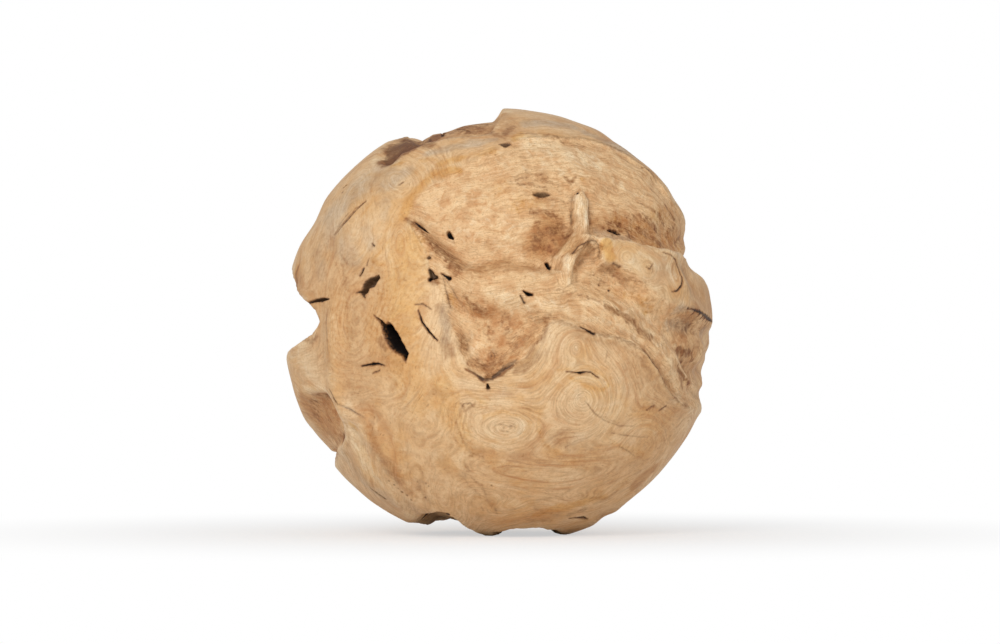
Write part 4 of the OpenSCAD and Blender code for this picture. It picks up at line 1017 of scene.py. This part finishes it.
    def fields(self):
        """What the finish follows, at each point."""
        p = self.d * R
        knots = knot_distances(p, KNOTS, FRONT)
        bends = knot_distances(p, BENDS, FRONT) + knot_distances(p, BACK_KNOTS, BACK)
        rings = blended_least(knots + bends, KNOT_SOFTNESS)
        ringed = smooth(1 - np.min(knots, axis=0) / RINGED_REACH)
        scoops = [0.4 * inset(self.ragged, outline) for outline in ROUGH_SCOOPS]
        fields = {
            "skin": np.maximum.reduce([self.skin] + scoops), "hole": self.hole,
            "dark": self.dark, "root": self.root / 6, "cavity": self.cavity,
            "fibre": self.fibre, "rings": rings, "ringed": ringed,
            "grain": np.maximum(ringed, smooth((rings + 6) / 20))}
        loose = self.front + self.waver(14, 2.5) + self.waver(5, 1.2)
        for name, lines in STROKES.items():
            fields[name] = strokes(loose, lines)
        return fields

    def points(self):
        """The surface in metres, on its flat seat and inside the box of the solid."""
        seat = self.form.seat_height / MM
        p = self.d * (R - self.depth)[:, None]
        p[:, 2] = np.maximum(p[:, 2], -seat)
        p += np.array([0, 0, seat]) - BOX_MIDDLE
        low, high = np.array(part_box("ball"))
        return np.clip(p * MM, low, high)


# ---- Settings ----


def srgb(red, green, blue):
    """An sRGB colour, 0 to 255, made scene linear."""
    return tuple(((c / 255 + 0.055) / 1.055) ** 2.4 for c in (red, green, blue))


def length(name, description, default):
    """A size in metres."""
    return FloatProperty(name=name, description=description, default=default,
                         min=0, subtype="DISTANCE", unit="LENGTH")


def power(name, description, default):
    """A power in watts."""
    return FloatProperty(name=name, description=description, default=default,
                         min=0, unit="POWER")


def colour(name, description, *default):
    """A colour, with its default in sRGB."""
    return FloatVectorProperty(name=name, description=description, subtype="COLOR", size=3,
                               min=0, max=1, default=srgb(*default))


class BallForm(bpy.types.PropertyGroup):
    seat_height: length("Seat height", "Height of the sphere's middle over the floor", 0.1426)
    skin_depth: length("Skin", "Depth of the weathered skin below the sphere", 0.0035)
    upper_depth: length("Wide hollow", "Depth of the hollow across the top", 0.013)
    bowl_depth: length("Bowl", "Depth of the bowl under the wide hollow", 0.009)
    slope_depth: length("Slope", "Depth of the slope under the shoulder", 0.007)
    saddle_depth: length("Saddle", "Depth of the saddle across the top edge", 0.009)
    bite_depth: length("Bite", "Depth of the bite out of the left side", 0.0255)
    under_depth: length("Underside", "Depth of the hollow underneath", 0.014)
    back_depth: length("Back", "Depth of the large hollow in the back", 0.020)
    rootlet_height: length("Rootlet", "Height of the rootlet where it forks", 0.011)
    relief: length("Relief", "Height of the fine unevenness of the skin", 0.0008)
    ring_pitch: length("Ring pitch", "Width of one growth ring", 0.0021)


class WoodColours(bpy.types.PropertyGroup):
    sanded: colour("Sanded wood", "Sanded sound wood", 227, 190, 143)
    golden: colour("Golden wood", "Warmer bands of the sanded wood", 217, 170, 113)
    skin: colour("Skin", "Weathered skin in the hollows", 229, 189, 140)
    rust: colour("Rust", "Reddish flecks of the skin", 188, 126, 70)
    # Tan and brown also lay painted shade in grooves, creases and recesses, and pale also lays
    # painted highlight on lit crests and on shaded faces
    tan: colour("Tan", "Broad brown tone of the hollows", 198, 149, 97)
    brown: colour("Brown", "Brown stains", 159, 113, 67)
    amber: colour("Amber", "Resinous yellow wood", 218, 168, 101)
    grey: colour("Grey", "Bleached grey wood", 204, 177, 144)
    pale: colour("Pale", "Freshly sanded pale wood", 236, 206, 163)
    # Near-black painted inside holes and cracks as their shade
    hole: colour("Holes", "Inside of the holes and cracks", 26, 17, 12)


class StageSettings(bpy.types.PropertyGroup):
    floor: colour("Floor", "Floor and background", 245, 245, 245)
    key: power("Key light", "Power of the key light", 29)
    fill: power("Fill light", "Power of the fill light", 5)
    surround: FloatProperty(name="Surround", description="Strength of the even light all round",
                            default=0.6, min=0)


# ---- Materials ----


class Value:
    """A number on its way through a material, so that shader maths reads as an expression."""

    def __init__(self, finish, socket):
        self.finish = finish
        self.socket = socket

    def maths(self, operation, a, b):
        return self.finish.node("Math", {"operation": operation}, {0: a, 1: b})

    def __add__(self, other):
        return self.maths("ADD", self, other)

    def __sub__(self, other):
        return self.maths("SUBTRACT", self, other)

    def __rsub__(self, other):
        return self.maths("SUBTRACT", other, self)

    def __mul__(self, other):
        return self.maths("MULTIPLY", self, other)

    def __truediv__(self, other):
        return self.maths("DIVIDE", self, other)

    __radd__ = __add__
    __rmul__ = __mul__


class Finish:
    """A material and the ways to add nodes to it."""

    def __init__(self, name):
        self.material = bpy.data.materials.new(name)
        self.material.use_nodes = True
        self.tree = self.material.node_tree
        self.shader = self.tree.nodes["Principled BSDF"]

    def node(self, kind, settings, inputs, output=0):
        """A new node, with its settings and its inputs by index or name."""
        new = self.tree.nodes.new("ShaderNode" + kind)
        for name, value in settings.items():
            setattr(new, name, value)
        for key, value in inputs.items():
            self.feed(new.inputs[key], value)
        return Value(self, new.outputs[output])

    def feed(self, socket, value):
        """Link a value to a socket, or set a number or a colour on it."""
        if isinstance(value, Value):
            self.tree.links.new(value.socket, socket)
        elif socket.type == "RGBA":
            socket.default_value = (*value, 1)
        else:
            socket.default_value = value

    def field(self, name):
        """A number stored at each point of the mesh."""
        return self.node("Attribute", {"attribute_name": name}, {}, "Fac")

    def ramp(self, value, low, high):
        """0 at low, 1 at high, smooth between."""
        return self.node("MapRange", {"interpolation_type": "SMOOTHSTEP"},
                         {0: value, 1: low, 2: high, 3: 0.0, 4: 1.0})

    def mix(self, factor, a, b):
        """Colour a where the factor is 0, and colour b where it is 1."""
        return self.node("Mix", {"data_type": "RGBA"}, {0: factor, 6: a, 7: b}, 2)

    def layered(self, base, *layers):
        """A base under layers: (pattern, where it starts, where it is full, strength, colour)."""
        for pattern, start, full, strength, tone in layers:
            base = self.mix(self.ramp(pattern, start, full) * strength, base, tone)
        return base


# Stains, with painted shade and painted highlight in some of their strokes, in the order they are
# laid on: (name, roughness of the edge, where it starts, is full)
STAINS_AND_SHADE = (
    ("tan", 0.65, 0.0, 1.15), ("amber", 1.2, 0.0, 1.2), ("grey", 0.4, 0.0, 1.2),
    ("pale", 0.8, 0.0, 1.2), ("brown", 0.9, 0.02, 1.3))


class Wood(Finish):
    """Teak root. Widths, runs and sizes of its patterns are in millimetres."""

    def __init__(self, colours, ring_pitch):
        super().__init__("teak_root")
        self.colours = colours
        objects = self.node("TexCoord", {}, {}, "Object")
        self.place = self.node("VectorMath", {"operation": "SCALE"}, {0: objects, 3: 1 / MM})
        self.skin = self.ramp(self.field("skin"), 0.0, 0.3)
        self.calm = self.field("calm")
        waves = self.cloud(30) - 0.5
        ripples = self.cloud(8) - 0.5
        shiver = self.cloud(3) - 0.5
        bent = self.field("rings") + waves * (7 - self.calm * 4.5)
        self.rings = bent + ripples * (0.9 - self.calm * 0.4) + shiver * 0.3
        fibre = self.field("fibre") + waves * 8 + ripples * 5
        self.fleck = self.cloud(2.4, 3)
        self.mottle = self.cloud(9, 5)
        self.curl = self.cloud(7, 5, 1.2)
        self.band = self.grain(self.rings, 7.0, 50, 2)
        self.streak = self.grain(self.rings, 1.5, 20, 3)
        self.fine = self.grain(self.rings, 0.8, 9, 2)
        self.strand = self.grain(fibre, 1.8, 20, 4)
        self.hair = self.grain(fibre, 0.9, 6, 2)
        turns = (self.rings + self.band * 5) * (2 * pi / (ring_pitch / MM))
        self.turn = self.node("Math", {"operation": "SINE"}, {0: turns})

    def cloud(self, size, detail=2.0, distortion=0.0):
        """Noise from 0 to 1 with features of about a size."""
        inputs = {"Vector": self.place, "Scale": 1 / size, "Detail": detail}
        inputs["Distortion"] = distortion
        return self.node("TexNoise", {}, inputs, "Fac")

    def grain(self, across, width, run, detail):
        """Streaks of a width, which keep their tone along the grain for about a run."""
        place = self.node("VectorMath", {"operation": "SCALE"}, {0: self.place, 3: 1 / run})
        inputs = {"Vector": place, "W": across / width, "Scale": 1.0, "Detail": detail}
        return self.node("TexNoise", {"noise_dimensions": "4D"}, inputs, "Fac")

    def sanded(self):
        """Sound wood: a cloudy tone, bands and streaks along the rings, and the rings."""
        tones = self.colours
        clear = self.field("grain")
        figure = self.cloud(16, 6, 1.5)
        vein = self.grain(self.rings, 3.0, 45, 3)
        dash = self.grain(self.rings, 0.5, 5, 1)
        broken = self.ramp(self.cloud(18), 0.36, 0.6)
        ringed = self.field("ringed") * 0.08 + clear * 0.14
        return self.layered(
            tones.sanded,
            (self.cloud(30, 4), 0.4, 0.66, 1.0, tones.golden),
            (self.mottle, 0.45, 0.7, 0.2, tones.grey),
            (figure, 0.52, 0.7, 0.38, tones.pale),
            (figure, 0.47, 0.3, 0.38, tones.golden),
            (self.curl, 0.5, 0.7, 0.12, tones.pale),
            (self.curl, 0.48, 0.3, 0.1, tones.rust),
            (self.band, 0.45, 0.68, clear * 0.25 + 0.15, tones.pale),
            (self.band, 0.48, 0.28, clear * 0.2 + 0.15, tones.rust),
            (vein, 0.54, 0.7, self.calm * 0.25 + 0.4, tones.rust),
            (vein, 0.46, 0.3, self.calm * 0.25 + 0.45, tones.pale),
            (self.streak, 0.5, 0.72, 0.32, tones.pale),
            (self.streak, 0.5, 0.28, self.calm * 0.12 + 0.22, tones.brown),
            (self.fine, 0.42, 0.7, clear * 0.12 + 0.26, tones.brown),
            (self.turn, -0.1, 1.0, broken * ringed, tones.brown),
            (self.fleck, 0.45, 0.75, 0.3, tones.rust),
            (self.cloud(1.1, 1), 0.5, 0.85, 0.35, tones.brown),
            (dash, 0.66, 0.78, 0.55, tones.brown))

    def weathered(self):
        """Skin: short fibres, curls and pits over a mottled tone."""
        tones = self.colours
        straight = 1.0 - self.field("curly") * 0.75
        return self.layered(
            tones.skin,
            (self.mottle, 0.42, 0.62, 0.75 - straight * 0.35, tones.rust),
            (self.curl, 0.5, 0.68, 0.7 - straight * 0.28, tones.pale),
            (self.curl, 0.48, 0.3, 0.75 - straight * 0.38, tones.rust),
            (self.strand, 0.45, 0.7, straight * 0.32, tones.pale),
            (self.strand, 0.5, 0.28, straight * 0.35, tones.brown),
            (self.hair, 0.42, 0.72, straight * 0.33 + 0.12, tones.brown),
            (self.cloud(1.1, 1), 0.5, 0.85, 0.5, tones.brown),
            (self.fleck, 0.6, 0.75, 0.5, tones.brown))

    def tone_over(self, factor, base, name):
        """A thin coat that turns the sanded wood the colour of a name, and lets grain show; it
        lays on stains, and also painted shade and painted highlight.
        """
        over = getattr(self.colours, name)
        tint = [coat / wood for coat, wood in zip(over, self.colours.sanded)]
        return self.node("Mix", {"data_type": "RGBA", "blend_type": "MULTIPLY"},
                         {0: factor, 6: base, 7: tint}, 2)

    def stained_and_shaded(self, base):
        """The base with its stains, whose edges break up along the grain, and with painted shade
        in recesses and painted highlight on crests.
        """
        broken = self.streak + (self.curl - self.streak) * self.skin
        edge = broken * 1.5 + self.mottle + self.fleck * 1.4 + self.hair * 0.8 - 2.35
        edge = edge * (self.skin * 0.6 + 0.4)
        for name, roughness, start, full in STAINS_AND_SHADE:
            field = self.field(name)
            frayed = field + edge * self.ramp(field, 0.0, 0.5) * roughness
            base = self.tone_over(self.ramp(frayed, start, full), base, name)
        root = self.ramp(self.field("root"), 0.3, 1.0)
        base = self.tone_over(root * self.ramp(self.strand + self.mottle, 0.8, 1.15), base, "pale")
        cavity = self.field("cavity")
        # Brown in recesses: partly dirt, partly painted shade that stands in for occlusion
        base = self.tone_over(self.ramp(cavity + edge * 0.4, 0.1, 1.3) * 0.4, base, "brown")
        # Pale on crests: partly wear, partly painted highlight
        return self.tone_over(self.ramp(cavity + edge * 0.3, -0.15, -0.9) * 0.5, base, "pale")

    def holed(self, base):
        """The base with painted shade in cracks and holes: near-black inside them, brown round
        their edges.
        """
        hole = self.field("hole") + (self.fleck - 0.5) * 0.8
        dark = self.field("dark")
        # Painted shade: brown fading in towards each hole and crack
        base = self.tone_over(self.ramp(hole, -1.2, 0.3) * dark, base, "brown")
        # Painted shade: the near-black inside holes and cracks
        return self.mix(self.ramp(hole, -0.1, 0.35) * dark, base, self.colours.hole)

    def bump(self):
        """Fine grain and rings all over, and fibres and pits on the skin."""
        pitted = self.strand * 0.3 + self.hair * 0.2 + self.curl * 0.55 + self.fleck * 0.4
        height = self.fine * 0.06 + self.turn * 0.01 + self.skin * pitted
        return self.node("Bump", {}, {"Height": height, "Strength": 1.0, "Distance": MM})


def teak(colours, ring_pitch):
    """Teak root: sanded wood with rings, weathered skin with fibres, stains and holes."""
    wood = Wood(colours, ring_pitch)
    base = wood.mix(wood.skin, wood.sanded(), wood.weathered())
    wood.feed(wood.shader.inputs["Base Color"], wood.holed(wood.stained_and_shaded(base)))
    wood.feed(wood.shader.inputs["Roughness"], wood.skin * 0.15 + 0.6)
    wood.feed(wood.shader.inputs["Normal"], wood.bump())
    return wood.material


# ---- Ball ----


def directions_of(bm):
    """Where the points of a mesh are, as one array."""
    return np.array([v.co for v in bm.verts])


def unit_mesh():
    """A sphere of triangles, drawn together at the front, and finer where there is detail."""
    bm = bmesh.new()
    bmesh.ops.create_icosphere(bm, subdivisions=7, radius=1.0)
    for v in bm.verts:
        lean = np.arccos(np.clip(-v.co.y, -1, 1))
        new = lean - FRONT_BIAS * sin(lean)
        across = Vector((v.co.x, 0, v.co.z))
        v.co = across.normalized() * sin(new) - Vector((0, cos(new), 0))
    front = chart(directions_of(bm), FRONT)
    fine = inset(front, SKIN_EDGE) > 0
    for outline in STEEP_BANKS:
        depth = inset(front, outline)
        fine |= (depth > 0) & (depth < 1)
    refine(bm, fine | by_cuts(front, FINE_REACH))
    refine(bm, by_cuts(chart(directions_of(bm), FRONT), FINEST_REACH))
    bmesh.ops.triangulate(bm, faces=bm.faces[:])
    return bm


def by_cuts(front, reach):
    """Which points are within reach of a crack, or of the edge of a hole."""
    fine = np.zeros(len(front), bool)
    for *_, line in CUTS:
        mask = near(front, line, reach + CUT_MARGIN)
        fine[mask] |= slot_inset(front[mask], line) > -reach
    for *_, outline in HOLES:
        mask = near(front, outline, reach)
        fine[mask] |= np.abs(hole_inset(front[mask], outline)) < reach
    return fine


def refine(bm, fine):
    """Halve the edges between fine points, on the sphere."""
    bm.verts.index_update()
    marked = [e for e in bm.edges if fine[e.verts[0].index] and fine[e.verts[1].index]]
    bmesh.ops.subdivide_edges(bm, edges=marked, cuts=1, use_grid_fill=True)
    for v in bm.verts:
        v.co.normalize()


class ROOTBALL_OT_ball(bpy.types.Operator):
    """Make the ball and its wood"""
    bl_idname = "rootball.ball"
    bl_label = "Root Ball"

    def execute(self, context):
        scene = context.scene
        bm = unit_mesh()
        bm.verts.index_update()
        sides = np.array([[v.index for v in e.verts] for e in bm.edges])
        surface = Surface(directions_of(bm), sides, scene.ball_form)
        for v, co in zip(bm.verts, surface.points()):
            v.co = co
        mesh = bpy.data.meshes.new("root_ball")
        bm.to_mesh(mesh)
        bm.free()
        mesh.polygons.foreach_set("use_smooth", [True] * len(mesh.polygons))
        for name, values in surface.fields().items():
            layer = mesh.attributes.new(name, "FLOAT", "POINT")
            layer.data.foreach_set("value", values.astype(np.float32))
        mesh.materials.append(teak(scene.wood_colours, scene.ball_form.ring_pitch))
        ball = bpy.data.objects.new("root_ball", mesh)
        context.collection.objects.link(ball)
        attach(ball, "root")
        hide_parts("ball")
        return {"FINISHED"}


# ---- Stage, in metres ----

# Place of the ball that the camera and the lamps point at
AIM = Vector((-0.0016 - BOX_MIDDLE[0] * MM, -BOX_MIDDLE[1] * MM, 0.1458))
# Distance of the camera from it, and the camera's lens and sensor in millimetres
CAMERA_DISTANCE = 3.825
LENS = 200
SENSOR_WIDTH = 36
# Lamps, named as in the stage settings: (name, place, width), and the width of the floor
LAMPS = (("key", (-0.7, -2.3, 1.2), 1.0), ("fill", (1.6, -1.6, 0.6), 1.6))
FLOOR_SIZE = 12


def lamp(name, place, width, watts):
    """A square lamp that points at the ball."""
    light = bpy.data.lights.new(name, "AREA")
    light.size = width
    light.energy = watts
    new = bpy.data.objects.new(name, light)
    bpy.context.collection.objects.link(new)
    new.location = place
    new.rotation_euler = (AIM - Vector(place)).to_track_quat("-Z", "Y").to_euler()


def floor_finish(tone):
    """Pale floor that the camera sees fade to white away from the ball's shadow."""
    f = Finish("floor")
    f.feed(f.shader.inputs["Base Color"], tone)
    f.feed(f.shader.inputs["Roughness"], 1.0)
    objects = f.node("TexCoord", {}, {}, "Object")
    away = f.node("VectorMath", {"operation": "LENGTH"}, {0: objects}, "Value")
    seen = f.node("LightPath", {}, {}, "Is Camera Ray")
    whiteness = seen * (f.ramp(away, 0.1, 0.5) * 0.45 + 0.55)
    white = f.node("Emission", {}, {"Color": (1, 1, 1), "Strength": 1.0})
    lit = Value(f, f.shader.outputs[0])
    both = f.node("MixShader", {}, {0: whiteness, 1: lit, 2: white})
    f.feed(f.tree.nodes["Material Output"].inputs["Surface"], both)
    return f.material


def surround_light(scene, strength):
    """Even light from all round, which the camera sees as white."""
    world = bpy.data.worlds.new("surround")
    scene.world = world
    world.use_nodes = True
    tree = world.node_tree
    path = tree.nodes.new("ShaderNodeLightPath")
    seen = tree.nodes.new("ShaderNodeMapRange")
    background = tree.nodes["Background"]
    background.inputs["Color"].default_value = (1, 1, 1, 1)
    seen.inputs["To Min"].default_value = strength
    seen.inputs["To Max"].default_value = 1.0
    tree.links.new(path.outputs["Is Camera Ray"], seen.inputs["Value"])
    tree.links.new(seen.outputs["Result"], background.inputs["Strength"])


class ROOTBALL_OT_stage(bpy.types.Operator):
    """Make the floor, the lights and the camera"""
    bl_idname = "rootball.stage"
    bl_label = "Stage"

    def execute(self, context):
        settings = context.scene.stage_settings
        bpy.ops.mesh.primitive_plane_add(size=FLOOR_SIZE)
        floor = context.object
        floor.name = "floor"
        floor.data.materials.append(floor_finish(settings.floor))
        for name, place, width in LAMPS:
            lamp(name, place, width, getattr(settings, name))
        surround_light(context.scene, settings.surround)
        camera = bpy.data.objects.new("camera", bpy.data.cameras.new("camera"))
        context.collection.objects.link(camera)
        camera.data.lens = LENS
        camera.data.sensor_width = SENSOR_WIDTH
        camera.location = AIM + Vector((0, -CAMERA_DISTANCE, 0))
        camera.rotation_euler = (radians(90), 0, 0)
        context.scene.camera = camera
        context.scene.view_settings.view_transform = "Standard"
        return {"FINISHED"}


# ---- Panel and start ----


class ROOTBALL_PT_panel(bpy.types.Panel):
    bl_label = "Root Ball"
    bl_idname = "ROOTBALL_PT_panel"
    bl_space_type = "VIEW_3D"
    bl_region_type = "UI"
    bl_category = "Root Ball"

    def draw(self, context):
        for group in GROUPS:
            settings = getattr(context.scene, group)
            for name in settings.bl_rna.properties.keys():
                if name not in {"rna_type", "name"}:
                    self.layout.prop(settings, name)
        for operator in (ROOTBALL_OT_ball, ROOTBALL_OT_stage):
            self.layout.operator(operator.bl_idname)


GROUPS = {"ball_form": BallForm, "wood_colours": WoodColours, "stage_settings": StageSettings}
CLASSES = (*GROUPS.values(), ROOTBALL_OT_ball, ROOTBALL_OT_stage, ROOTBALL_PT_panel)


def register():
    for cls in CLASSES:
        bpy.utils.register_class(cls)
    for name, group in GROUPS.items():
        setattr(bpy.types.Scene, name, PointerProperty(type=group))


def unregister():
    for name in GROUPS:
        delattr(bpy.types.Scene, name)
    for cls in reversed(CLASSES):
        bpy.utils.unregister_class(cls)


def main():
    register()
    bpy.ops.rootball.ball()
    bpy.ops.rootball.stage()


if __name__ == "__main__":
    main()
